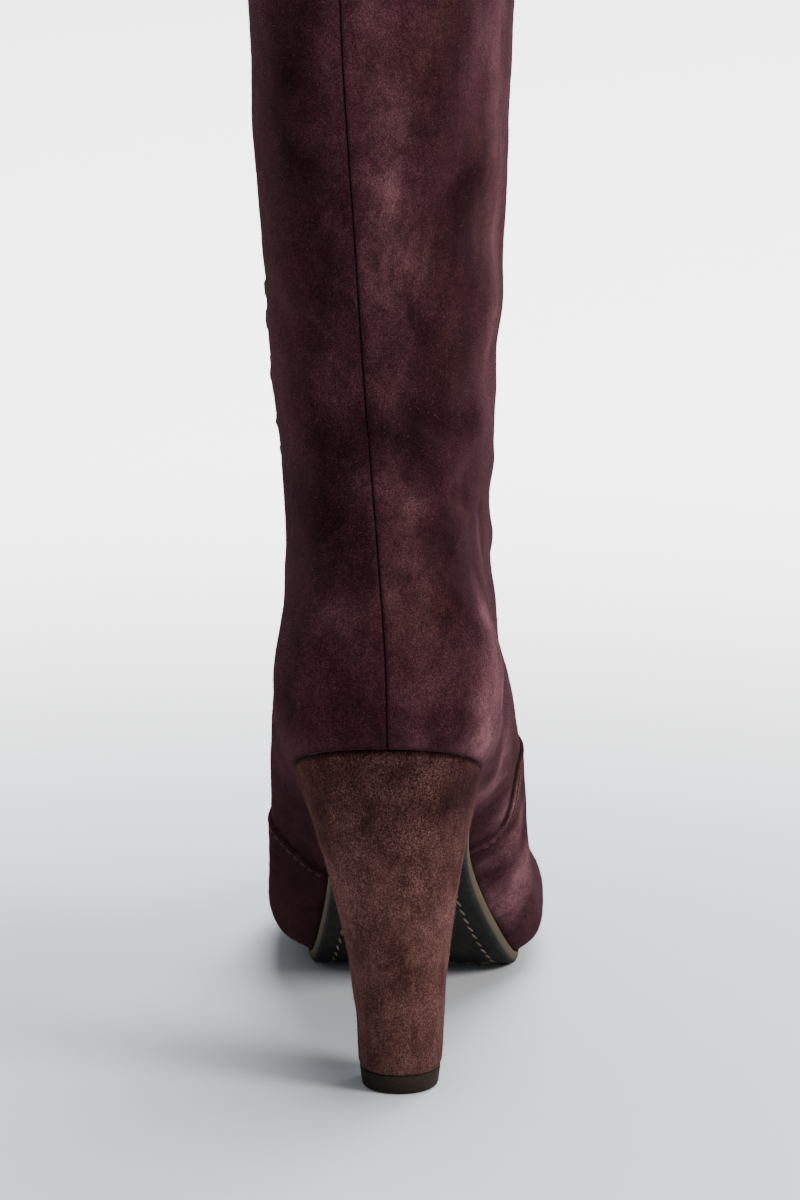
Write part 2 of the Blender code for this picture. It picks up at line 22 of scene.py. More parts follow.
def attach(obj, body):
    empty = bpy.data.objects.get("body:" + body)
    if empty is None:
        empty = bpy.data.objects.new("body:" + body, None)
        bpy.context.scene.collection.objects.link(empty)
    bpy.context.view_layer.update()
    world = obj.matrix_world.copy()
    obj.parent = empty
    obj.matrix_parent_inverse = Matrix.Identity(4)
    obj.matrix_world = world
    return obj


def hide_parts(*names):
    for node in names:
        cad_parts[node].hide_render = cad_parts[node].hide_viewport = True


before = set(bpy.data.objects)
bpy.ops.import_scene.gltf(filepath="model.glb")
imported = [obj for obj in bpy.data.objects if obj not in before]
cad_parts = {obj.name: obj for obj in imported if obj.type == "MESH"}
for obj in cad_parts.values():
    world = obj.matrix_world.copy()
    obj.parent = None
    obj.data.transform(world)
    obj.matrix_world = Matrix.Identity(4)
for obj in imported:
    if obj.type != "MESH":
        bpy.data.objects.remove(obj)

LOG = logging.getLogger("boot")
MM = 0.001
GAP = 0.3  # clearance between neighbouring solids
WALL = 2.0
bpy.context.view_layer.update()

LEVEL = np.array((1.0, 1.0, 0.0))  # keeps the level part of a direction
UP = np.array((0.0, 0.0, 1.0))

Table = np.ndarray  # crossing points of a grid: rows, columns, xyz


class Body(Enum):
    """What a piece moves with."""

    BOOT = "boot"
    PULL = "pull"


class Slot(Enum):
    """The record's material slots."""

    SUEDE = "suede"
    HEEL = "heel_suede"
    SOLE = "sole_leather"
    SOCK = "sock_leather"
    RUBBER = "top_piece_rubber"
    TAPE = "zip_tape"
    METAL = "zip_metal"


class Side(Enum):
    """The two sides of a right boot, as the sign of X."""

    INNER = 1
    OUTER = -1


# --- the last ------------------------------------------------------------------------------------
# Height of the joint between upper and sole along the boot.
SOLE_LINE = (
    # y, z
    (24.0, 108.0),
    (0.0, 97.4),
    (-25.0, 85.2),
    (-45.0, 71.6),
    (-62.0, 55.6),
    (-78.0, 38.2),
    (-92.0, 22.8),
    (-104.0, 11.4),
    (-112.0, 6.2),
    (-121.0, 3.9),
    (-130.0, 3.9),
    (-168.0, 3.9),
    (-180.0, 4.9),
    (-190.0, 6.6),
    (-198.0, 9.0),
)
# A ring runs once round the upper: back and front give its ends, seat, waist and ball its half widths on
# the outer (o) and inner (i) side, back_round and front_round how far its ends take to close, and follow
# how much of the sole line's bend it keeps.
Ring = namedtuple(
    "Ring",
    "back_y back_z back_x front_y front_z front_x seat_o seat_i waist_o waist_i ball_o ball_i"
    " back_round front_round follow",
)
FOOT_RINGS = (
    # back: y, z, x | front: y, z, x | seat: o, i | waist: o, i | ball: o, i | back_round, front_round, follow
    Ring(24.0, 108.0, 3.1, -197.0, 8.9, 2.0, 26.3, 28.0, 21.5, 19.5, 36.5, 29.5, 27, 64, 1.00),
    Ring(26.4, 113.5, 3.1, -200.5, 14.0, 2.0, 29.4, 31.0, 29.0, 27.0, 42.0, 37.5, 29, 62, 1.00),
    Ring(28.0, 121.5, 3.2, -199.5, 21.0, 2.0, 31.6, 33.0, 34.0, 33.5, 43.6, 41.0, 31, 62, 0.97),
    Ring(28.0, 131.0, 3.4, -193.0, 28.0, 1.9, 32.4, 33.8, 36.4, 37.0, 42.2, 41.0, 32, 64, 0.92),
    Ring(26.0, 141.5, 4.0, -180.5, 34.0, 1.4, 33.2, 33.4, 37.6, 37.6, 39.8, 39.5, 34, 68, 0.84),
    Ring(22.5, 152.5, 4.9, -164.0, 42.5, 0.6, 32.2, 31.6, 37.4, 36.0, 37.5, 37.5, 36, 74, 0.74),
    Ring(18.5, 163.5, 5.9, -147.0, 54.5, -0.4, 30.2, 29.6, 35.0, 33.6, 35.0, 35.0, 38, 78, 0.62),
    Ring(14.5, 174.5, 6.9, -132.0, 71.5, -1.4, 29.0, 28.8, 32.0, 31.6, 32.6, 32.6, 40, 76, 0.50),
    Ring(11.3, 185.5, 7.9, -120.0, 92.0, -2.0, 28.7, 28.7, 30.2, 30.4, 31.0, 31.0, 42, 72, 0.38),
    Ring(9.0, 196.5, 8.9, -110.5, 114.5, -2.0, 29.2, 29.2, 29.8, 30.0, 30.2, 30.2, 44, 66, 0.27),
    Ring(8.0, 207.5, 9.8, -102.5, 138.5, -1.6, 29.9, 29.9, 30.0, 30.0, 30.0, 30.0, 46, 60, 0.18),
    Ring(7.8, 219.5, 10.6, -96.0, 163.5, -0.4, 30.8, 30.8, 30.8, 30.8, 30.8, 30.8, 47, 55, 0.10),
    Ring(8.4, 232.0, 11.4, -91.5, 189.0, -0.2, 31.8, 31.8, 31.8, 31.8, 31.8, 31.8, 48, 52, 0.05),
)
# Above the ankle a ring is an ellipse whose two ends stand apart sideways where the shaft twists.
SHAFT_RINGS = (
    # back z, front z, back y, front y, back x, front x, half width
    (246.5, 215.5, 10.0, -89.0, 12.2, -0.8, 33.2),
    (264.0, 243.5, 12.8, -88.3, 13.2, -2.0, 34.2),
    (284.0, 273.0, 16.5, -88.8, 14.4, -3.2, 35.0),
    (305.0, 302.0, 20.6, -89.8, 15.5, -4.2, 35.5),
    (330.0, 330.0, 25.0, -91.2, 16.2, -4.8, 37.0),
    (359.0, 359.0, 29.5, -92.5, 16.5, -5.2, 40.4),
    (388.0, 388.0, 33.0, -93.5, 16.5, -5.4, 44.2),
    (417.0, 417.0, 35.0, -94.2, 16.3, -5.5, 47.0),
    (446.0, 446.0, 35.4, -94.4, 16.0, -5.6, 48.4),
    (475.0, 475.0, 34.6, -94.3, 15.8, -5.6, 48.8),
    (504.0, 504.0, 33.6, -94.3, 15.6, -5.6, 49.4),
    (533.0, 533.0, 33.2, -94.8, 15.5, -5.6, 51.2),
    (562.0, 562.0, 33.8, -96.0, 15.5, -5.6, 54.0),
    (590.0, 591.0, 35.2, -97.8, 15.5, -5.6, 56.8),
    (611.0, 614.0, 36.6, -99.2, 15.5, -5.6, 58.6),
    (626.0, 630.0, 37.2, -100.0, 15.5, -5.6, 59.4),
)
# The zip's middle line down the inner side.
ZIP_LINE = (
    # z, y
    (80.0, -68.0),
    (110.0, -60.0),
    (150.0, -52.0),
    (200.0, -45.0),
    (260.0, -40.0),
    (317.0, -37.0),
    (400.0, -33.0),
    (640.0, -32.0),
)


def full_ring(row: Sequence[float]) -> Ring:
    """Turns a row of the shaft's table into a ring.

    Args:
        row: back z, front z, back y, front y, back x, front x and half width.

    Returns:
        The same ring with every field of the foot's rings.
    """
    back_z, front_z, back_y, front_y, back_x, front_x, half = row
    depth = (back_y - front_y) / 2
    return Ring(back_y, back_z, back_x, front_y, front_z, front_x, *(half,) * 6, depth, depth, 0.0)


def smooth_spline(xs: Sequence[float], ys: Sequence[float]) -> Callable[[Any], Any]:
    """Natural cubic spline through the points (xs, ys).

    Args:
        xs: places, rising.
        ys: values there.

    Returns:
        The curve, as a function of x.
    """
    places, values = np.array(xs, float), np.array(ys, float)
    step, count = np.diff(places), len(places)
    matrix, right = np.eye(count), np.zeros(count)
    for i in range(1, count - 1):
        matrix[i, i - 1 : i + 2] = step[i - 1], 2 * (step[i - 1] + step[i]), step[i]
        right[i] = 6 * ((values[i + 1] - values[i]) / step[i] - (values[i] - values[i - 1]) / step[i - 1])
    bend = np.linalg.solve(matrix, right)

    def value(x: Any) -> Any:
        """The spline at x."""
        x = np.clip(x, places[0], places[-1])
        i = np.clip(np.searchsorted(places, x) - 1, 0, count - 2)
        h, a, b = step[i], places[i + 1] - x, x - places[i]
        cubic = (bend[i] * a**3 + bend[i + 1] * b**3) / (6 * h)
        return cubic + (values[i] / h - bend[i] * h / 6) * a + (values[i + 1] / h - bend[i + 1] * h / 6) * b

    return value


def steady_curve(xs: Sequence[float], ys: Sequence[float]) -> Callable[[Any], Any]:
    """Cubic curve through the points (xs, ys) that never swings past them.

    Args:
        xs: places, in any order.
        ys: values there.

    Returns:
        The curve, as a function of x.
    """
    order = np.argsort(xs)
    places, values = np.array(xs, float)[order], np.array(ys, float)[order]
    step = np.diff(places)
    slope = np.diff(values) / step
    tangent = np.concatenate(([slope[0]], np.zeros(len(places) - 2), [slope[-1]]))
    for i in range(1, len(places) - 1):
        if slope[i - 1] * slope[i] > 0:
            first, second = 2 * step[i] + step[i - 1], step[i] + 2 * step[i - 1]
            tangent[i] = (first + second) / (first / slope[i - 1] + second / slope[i])

    def value(x: Any) -> Any:
        """The curve at x."""
        x = np.clip(x, places[0], places[-1])
        i = np.clip(np.searchsorted(places, x) - 1, 0, len(places) - 2)
        h = step[i]
        t = (x - places[i]) / h
        rise = (2 * t**3 - 3 * t**2 + 1) * values[i] + (3 * t**2 - 2 * t**3) * values[i + 1]
        return rise + h * ((t**3 - 2 * t**2 + t) * tangent[i] + (t**3 - t**2) * tangent[i + 1])

    return value


def distances(path: np.ndarray) -> np.ndarray:
    """Distance of each point of a path from its first, measured along it."""
    return np.concatenate(([0.0], np.cumsum(np.linalg.norm(np.diff(path, axis=0), axis=1))))


def bump(distance: Any, width: float) -> Any:
    """A soft bell of height 1 at distance 0."""
    return np.exp(-((distance / width) ** 2))


def ramp(value: Any, low: float, high: float) -> Any:
    """Rises smoothly from 0 at low to 1 at high."""
    t = np.clip((value - low) / (high - low), 0.0, 1.0)
    return t * t * (3 - 2 * t)


def rounding_at(distance: Any, radius: float) -> Any:
    """How far a rounded corner falls back at a distance from its edge."""
    left = radius - np.clip(distance, 0.0, radius)
    return radius - np.sqrt(np.maximum(radius**2 - left**2, 0.0))


def soft_noise(points: np.ndarray, wavelength: float, seed: int) -> np.ndarray:
    """Smooth noise of about -1 to 1, as a sum of waves in seeded directions.

    Args:
        points: places in millimetres, xyz last.
        wavelength: distance from swell to swell, in millimetres.
        seed: chooses the waves.

    Returns:
        One value for each place.
    """
    waves = 14
    chance = np.random.default_rng(seed)
    directions = chance.normal(size=(waves, 3))
    directions /= np.linalg.norm(directions, axis=1)[:, None]
    stretch = chance.uniform(0.7, 1.5, waves)
    phases = chance.uniform(0.0, 2 * math.pi, waves)
    total = np.zeros(points.shape[:-1])
    for direction, factor, phase in zip(directions, stretch, phases):
        total += np.sin(points @ direction * (2 * math.pi * factor / wavelength) + phase)
    return total / math.sqrt(waves)


@dataclass(frozen=True)
class Unevenness:
    """Soft noise of a height and a size, in millimetres, and a seed."""

    height: float
    size: float
    seed: int

    def at(self, points: np.ndarray) -> np.ndarray:
        """The noise at some points."""
        return self.height * soft_noise(points, self.size, self.seed)


def normals_of(table: Table, inside: np.ndarray) -> np.ndarray:
    """Unit normals of a table of points, turned away from a middle line.

    Args:
        table: rows, columns, xyz.
        inside: one point inside the form for each row.

    Returns:
        An array of the table's shape.
    """
    across = np.gradient(table, axis=1)
    if np.linalg.norm(table[:, 0] - table[:, -1], axis=1).max() < 0.01:
        across[:, 0] = across[:, -1] = table[:, 1] - table[:, -2]
    normal = np.cross(np.gradient(table, axis=0), across)
    normal /= np.maximum(np.linalg.norm(normal, axis=2, keepdims=True), 1e-9)
    facing = ((table - inside[:, None]) * normal).sum(axis=2, keepdims=True)
    return np.where(facing < 0, -normal, normal)


@dataclass
class Last:
    """The boot's form: rings up the upper, the feather line and the sole line."""

    seat_back: float = 24.0
    breast: float = -27.0
    toe: float = -197.0
    seat_y: float = -6.0
    waist_y: float = -62.0
    ball_out_y: float = -122.0
    ball_in_y: float = -134.0
    end_power: float = 2.15
    sole_thick: float = 3.6
    samples: int = 500
    rings: tuple[Ring, ...] = FOOT_RINGS + tuple(full_ring(row) for row in SHAFT_RINGS)

    def __post_init__(self) -> None:
        """Fits the curves through the tables."""
        self.sole_height = steady_curve(*zip(*SOLE_LINE))
        self.zip_y = steady_curve(*zip(*ZIP_LINE))
        self.columns = [smooth_spline(range(len(self.rings)), values) for values in zip(*self.rings)]
        self.topline = float(len(self.rings) - 1)

    def side(self, v: float, side: Side) -> np.ndarray:
        """Dense points of one side of the ring at v, from the back to the front."""
        ring = Ring(*(column(v) for column in self.columns))
        length = ring.back_y - ring.front_y
        t = (1 - np.cos(np.linspace(0.0, math.pi, self.samples))) / 2
        y = ring.back_y - length * t
        outer = side is Side.OUTER
        seat, waist, ball = (
            (ring.seat_o, ring.waist_o, ring.ball_o) if outer else (ring.seat_i, ring.waist_i, ring.ball_i)
        )
        ball_y = self.ball_out_y if outer else self.ball_in_y
        places = (self.seat_back + 16.0, self.seat_y, self.waist_y, ball_y, self.toe - 13.0)
        width_at = steady_curve(places, (seat, seat, waist, ball, ball))
        power = self.end_power
        back = np.clip((ring.back_y - y) / ring.back_round, 0, 1)
        front = np.clip((y - ring.front_y) / ring.front_round, 0, 1)
        closing = ((1 - (1 - back) ** power) * (1 - (1 - front) ** power)) ** (1 / power)
        x = ring.back_x + (ring.front_x - ring.back_x) * t + side.value * width_at(y) * closing
        foot_y = self.seat_back - t * (self.seat_back - self.toe)
        drop = self.sole_height(self.seat_back) - self.sole_height(foot_y)
        bent = drop / drop[-1]
        z = ring.back_z + (ring.front_z - ring.back_z) * (ring.follow * bent + (1 - ring.follow) * t)
        return np.stack((x, y, z + GAP), axis=1)

    def loop(self, v: float) -> tuple[np.ndarray, np.ndarray, float, float]:
        """The whole ring at v, from the back round the inner side and home by the outer.

        Args:
            v: place up the boot, counted in rings.

        Returns:
            The points, the distance of each along the ring, and the distances of the zip and the front.
        """
        inner, outer = self.side(v, Side.INNER), self.side(v, Side.OUTER)
        points = np.concatenate((inner, outer[-2::-1]))
        along = distances(points)
        gap = self.zip_y(inner[:, 2] - GAP) - inner[:, 1]
        zip_place = float(np.interp(0.0, gap, along[: len(inner)]))
        return points, along, zip_place, float(along[len(inner) - 1])

    def feather(self) -> tuple[np.ndarray, np.ndarray]:
        """The feather line in plan, from the back round the outer side to the toe and home by the inner.

        Returns:
            The points and their outward unit normals, each xy.
        """
        outer, inner = self.side(0.0, Side.OUTER)[:, :2], self.side(0.0, Side.INNER)[:, :2]
        line = np.concatenate((outer, inner[-2::-1]))
        along = np.gradient(line, axis=0)
        along[0] = along[-1] = line[1] - line[-2]
        normal = np.stack((along[:, 1], -along[:, 0]), axis=1)
        normal /= np.linalg.norm(normal, axis=1)[:, None]
        middle = line.mean(axis=0)
        if ((line - middle) * normal).sum() < 0:
            normal = -normal
        return line, normal

    def half_line(self, ys: np.ndarray) -> np.ndarray:
        """Middle of the feather line, in X, at each of the places ys."""
        inner, outer = self.side(0.0, Side.INNER), self.side(0.0, Side.OUTER)
        first = np.interp(ys, inner[::-1, 1], inner[::-1, 0])
        return (first + np.interp(ys, outer[::-1, 1], outer[::-1, 0])) / 2

    def sole_top(self, y: Any) -> Any:
        """Height of the sole's upper face and of the heel's seat."""
        return self.sole_height(y) - GAP

    def sole_bottom(self, y: Any) -> Any:
        """Height of the sole's lower face, level where it stands on the floor."""
        slope = (self.sole_height(y + 1.0) - self.sole_height(y - 1.0)) / 2.0
        return np.maximum(0.0, self.sole_top(y) - self.sole_thick * np.hypot(1.0, slope))


# --- meshes --------------------------------------------------------------------------------------
def new_piece(name: str, bm: bmesh.types.BMesh, finish: "Finish", body: Body) -> bpy.types.Object:
    """Turns a bmesh in millimetres into a dressed piece in metres that rides on a body.

    Args:
        name: the piece's name.
        bm: its mesh, which is freed.
        finish: what it is made of.
        body: what it moves with.

    Returns:
        The new object.
    """
    bmesh.ops.scale(bm, vec=Vector((MM, MM, MM)), verts=bm.verts)
    mesh = bpy.data.meshes.new(name)
    bm.to_mesh(mesh)
    bm.free()
    mesh.shade_smooth()
    mesh.materials.append(finish.material())
    piece = bpy.data.objects.new(name, mesh)
    bpy.context.scene.collection.objects.link(piece)
    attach(piece, body.value)
    LOG.info("%s: %d faces", name, len(mesh.polygons))
    return piece


def grid_mesh(
    table: Table, values: dict[str, np.ndarray] | None = None, skip: np.ndarray | None = None
) -> bmesh.types.BMesh:
    """A grid whose crossing points lie at table[row, column]; doubled points are merged.

    Args:
        table: crossing points, in millimetres.
        values: attributes by name, one number for each crossing point.
        skip: True for each cell (row, column) that is left out.

    Returns:
        The mesh, in millimetres.
    """
    rows, columns = table.shape[0] - 1, table.shape[1] - 1
    bm = bmesh.new()
    bmesh.ops.create_grid(bm, x_segments=columns, y_segments=rows, size=0.5)
    if skip is not None:
        centres = ((face, face.calc_center_median()) for face in bm.faces)
        unused = [face for face, at in centres if skip[int((at.y + 0.5) * rows), int((at.x + 0.5) * columns)]]
        bmesh.ops.delete(bm, geom=unused, context="FACES")
    layers = [(bm.verts.layers.float.new(name), numbers) for name, numbers in (values or {}).items()]
    for vert in bm.verts:
        place = round((vert.co.y + 0.5) * rows), round((vert.co.x + 0.5) * columns)
        for layer, numbers in layers:
            vert[layer] = float(numbers[place])
        vert.co = table[place]
    bmesh.ops.remove_doubles(bm, verts=bm.verts, dist=0.004)
    return bm


def face_out(bm: bmesh.types.BMesh) -> bmesh.types.BMesh:
    """Turns a closed mesh's faces outwards and returns it."""
    bmesh.ops.recalc_face_normals(bm, faces=bm.faces)
    return bm


def search_tree(points: np.ndarray) -> KDTree:
    """A tree that finds the nearest of some points."""
    tree = KDTree(len(points))
    for number, point in enumerate(points):
        tree.insert(Vector(point), number)
    tree.balance()
    return tree


def turn_to(bm: bmesh.types.BMesh, outward: Callable[[Vector], Vector]) -> None:
    """Flips an open mesh if most of its faces point against the direction outward(centre)."""
    sample = list(bm.faces)[:: max(1, len(bm.faces) // 400)]
    agreement = sum(face.normal.dot(outward(face.calc_center_median())) for face in sample)
    if agreement < 0:
        bmesh.ops.reverse_faces(bm, faces=bm.faces)


def along_path(path: np.ndarray, pitch: float) -> np.ndarray:
    """Distances along a path at a steady pitch, as positions to interpolate at."""
    length = np.linalg.norm(np.diff(path, axis=0), axis=1).sum()
    return pitch * (np.arange(max(1, int(length / pitch))) + 0.5)


def resample(path: np.ndarray, values: np.ndarray, places: np.ndarray) -> np.ndarray:
    """Values given at a path's points, read at distances along it."""
    along = distances(path)
    return np.stack([np.interp(places, along, values[:, k]) for k in range(values.shape[1])], axis=1)


def add_beads(
    bm: bmesh.types.BMesh,
    path: np.ndarray,
    normal: np.ndarray,
    pitch: float,
    half_size: tuple[float, float, float],
    lift: float = 0.0,
    slant: float = 0.0,
) -> None:
    """Adds a row of small rounded shapes along a path, such as the stitches of a seam.

    Args:
        bm: the mesh that they go to.
        path: points in millimetres.
        normal: the surface's outward normals there.
        pitch: distance from one to the next.
        half_size: half their length, width and height.
        lift: how far they stand from the path.
        slant: angle between each and the path, in degrees.
    """
    places = along_path(path, pitch)
    step = 0.2
    centres, normals = resample(path, path, places), resample(path, normal, places)
    ahead = resample(path, path, places + step) - resample(path, path, places - step)
    for centre, up, forward in zip(centres, normals, ahead):
        z_axis = Vector(up).normalized()
        y_axis = z_axis.cross(Vector(forward)).normalized()
        x_axis = y_axis.cross(z_axis)
        turn = Matrix((x_axis, y_axis, z_axis)).transposed().to_4x4()
        place = Matrix.Translation(Vector(centre) + z_axis * lift) @ turn
        place = place @ Matrix.Rotation(math.radians(slant), 4, "Z") @ Matrix.Diagonal((*half_size, 1.0))
        bmesh.ops.create_uvsphere(bm, u_segments=6, v_segments=5, radius=1.0, matrix=place)


SPIKE = ((1.0, 0.0), (-0.5, 0.87), (-0.5, -0.87))  # the foot of one loose fibre, seen from its tip
SPIKE_RADIUS = 0.055  # coarser than a real fibre (0.02 mm), so that it shows
SPIKE_LENGTHS = (0.4, 1.4)  # shortest and longest
SPIKE_LEANS = (25.0, 75.0)  # degrees from upright
SPIKE_ROOT = 0.1  # how deep it starts in the nap


def loose_fibres(
    table: Table, normal: np.ndarray, allowed: np.ndarray, count: int, seed: int
) -> bmesh.types.BMesh:
    """Single fibres that stand clear of a napped surface, evenly strewn over it.

    They are made face by face, because an operator for each of so many takes too long.

    Args:
        table: the surface's points.
        normal: its outward normals there.
        allowed: whether fibres may stand at each point.
        count: how many there are.
        seed: start of their random order.

    Returns:
        Their mesh, thin three-sided spikes.
    """
    rng = np.random.default_rng(seed)
    corner = table[:-1, :-1]
    along, across = table[1:, :-1] - corner, table[:-1, 1:] - corner
    area = np.linalg.norm(np.cross(along, across), axis=2) * allowed[:-1, :-1]
    chosen = rng.choice(area.size, count, p=(area / area.sum()).ravel())
    row, column = np.unravel_index(chosen, area.shape)
    share = rng.random((2, count, 1))
    root = corner[row, column] + along[row, column] * share[0] + across[row, column] * share[1]
    up = normal[row, column]
    side = np.cross(up, along[row, column])
    side /= np.linalg.norm(side, axis=1)[:, None]
    lean, turn = np.radians(rng.uniform(*SPIKE_LEANS, (count, 1))), rng.uniform(0.0, math.tau, (count, 1))
    flat = side * np.cos(turn) + np.cross(up, side) * np.sin(turn)
    tip = root + (up * np.cos(lean) + flat * np.sin(lean)) * rng.uniform(*SPIKE_LENGTHS, (count, 1))
    foot = root - up * SPIKE_ROOT
    corners_at = [foot + (side * x + np.cross(up, side) * y) * SPIKE_RADIUS for x, y in SPIKE]
    bm = bmesh.new()
    for end, *base in zip(tip, *corners_at):
        top, *corners = (bm.verts.new(point) for point in (end, *base))
        bm.faces.new(corners[::-1])
        for k in range(3):
            bm.faces.new((corners[k], corners[(k + 1) % 3], top))
    return bm


def fill_ends(bm: bmesh.types.BMesh) -> None:
    """Closes every open edge loop of a mesh."""
    bmesh.ops.holes_fill(bm, edges=[edge for edge in bm.edges if edge.is_boundary], sides=0)


# --- finishes ------------------------------------------------------------------------------------
COLOURS = {"data_type": "RGBA"}  # settings that many nodes share
TIMES = {"operation": "MULTIPLY"}
TIMES_PLUS = {"operation": "MULTIPLY_ADD"}
HELD_TIMES = {"operation": "MULTIPLY", "use_clamp": True}
PLUS = {"operation": "ADD"}
SOFT_STEP = {"interpolation_type": "SMOOTHSTEP"}
FACTOR, FIRST, SECOND, MIXED = 0, 6, 7, 2  # sockets of a Mix node: its share, two colours and result
VALUE, LOW, HIGH, START = 0, 1, 2, 3  # sockets of a Map Range node


def linear(colour: str) -> tuple[float, float, float, float]:
    """An sRGB hex colour, such as "#4a2a28", as linear RGBA."""
    parts = [int(colour[i : i + 2], 16) / 255 for i in (1, 3, 5)]
    red, green, blue = (p / 12.92 if p <= 0.04045 else ((p + 0.055) / 1.055) ** 2.4 for p in parts)
    return red, green, blue, 1.0


def add_node(
    tree: bpy.types.NodeTree, kind: str, settings: dict[str, Any], inputs: dict[Any, Any] | None = None
) -> bpy.types.Node:
    """Adds a shader node.

    Args:
        tree: the material's node tree.
        kind: the node's type, without "ShaderNode".
        settings: its properties.
        inputs: sockets by name or number, each with a value, or with an output socket or a node to link.

    Returns:
        The node.
    """
    node = tree.nodes.new("ShaderNode" + kind)
    for key, value in settings.items():
        setattr(node, key, value)
    for key, value in (inputs or {}).items():
        if isinstance(value, bpy.types.Node):
            value = value.outputs[MIXED if value.type == "MIX" else 0]
        if isinstance(value, bpy.types.NodeSocket):
            tree.links.new(value, node.inputs[key])
        else:
            node.inputs[key].default_value = value
    return node


@dataclass(frozen=True)
class Finish:
    """A material: its name, and the values of its shader that are the same all over."""

    name: str
    roughness: float = 0.8
    metallic: float = 0.0
    sheen: float = 0.0
    sheen_roughness: float = 0.5
    sheen_colour: str = "#ffffff"
    specular: float = 0.5

    def material(self) -> bpy.types.Material:
        """The material, made once and then shared."""
        made = bpy.data.materials.get(self.name)
        if made:
            return made
        made = bpy.data.materials.new(self.name)
        made.use_nodes = True
        tree = made.node_tree
        shader = tree.nodes["Principled BSDF"]
        shader.inputs["Roughness"].default_value = self.roughness
        shader.inputs["Metallic"].default_value = self.metallic
        shader.inputs["Sheen Weight"].default_value = self.sheen
        shader.inputs["Sheen Roughness"].default_value = self.sheen_roughness
        shader.inputs["Sheen Tint"].default_value = linear(self.sheen_colour)
        if not self.metallic:
            shader.inputs["Specular IOR Level"].default_value = self.specular
        colour, height, depth = self.surface(tree)
        tree.links.new(colour, shader.inputs["Base Color"])
        bumps = add_node(tree, "Bump", {}, {"Strength": 1.0, "Distance": depth * MM, "Height": height})
        tree.links.new(bumps.outputs["Normal"], shader.inputs["Normal"])
        return made

    def surface(self, tree: bpy.types.NodeTree) -> tuple[Any, Any, float]:
        """Nodes of the pattern: its colour, its relief's height and that relief's depth in mm."""
        raise NotImplementedError


def per_metre(size: float) -> float:
    """A noise's scale for features of a size in millimetres."""
    return 1.0 / (size * MM)


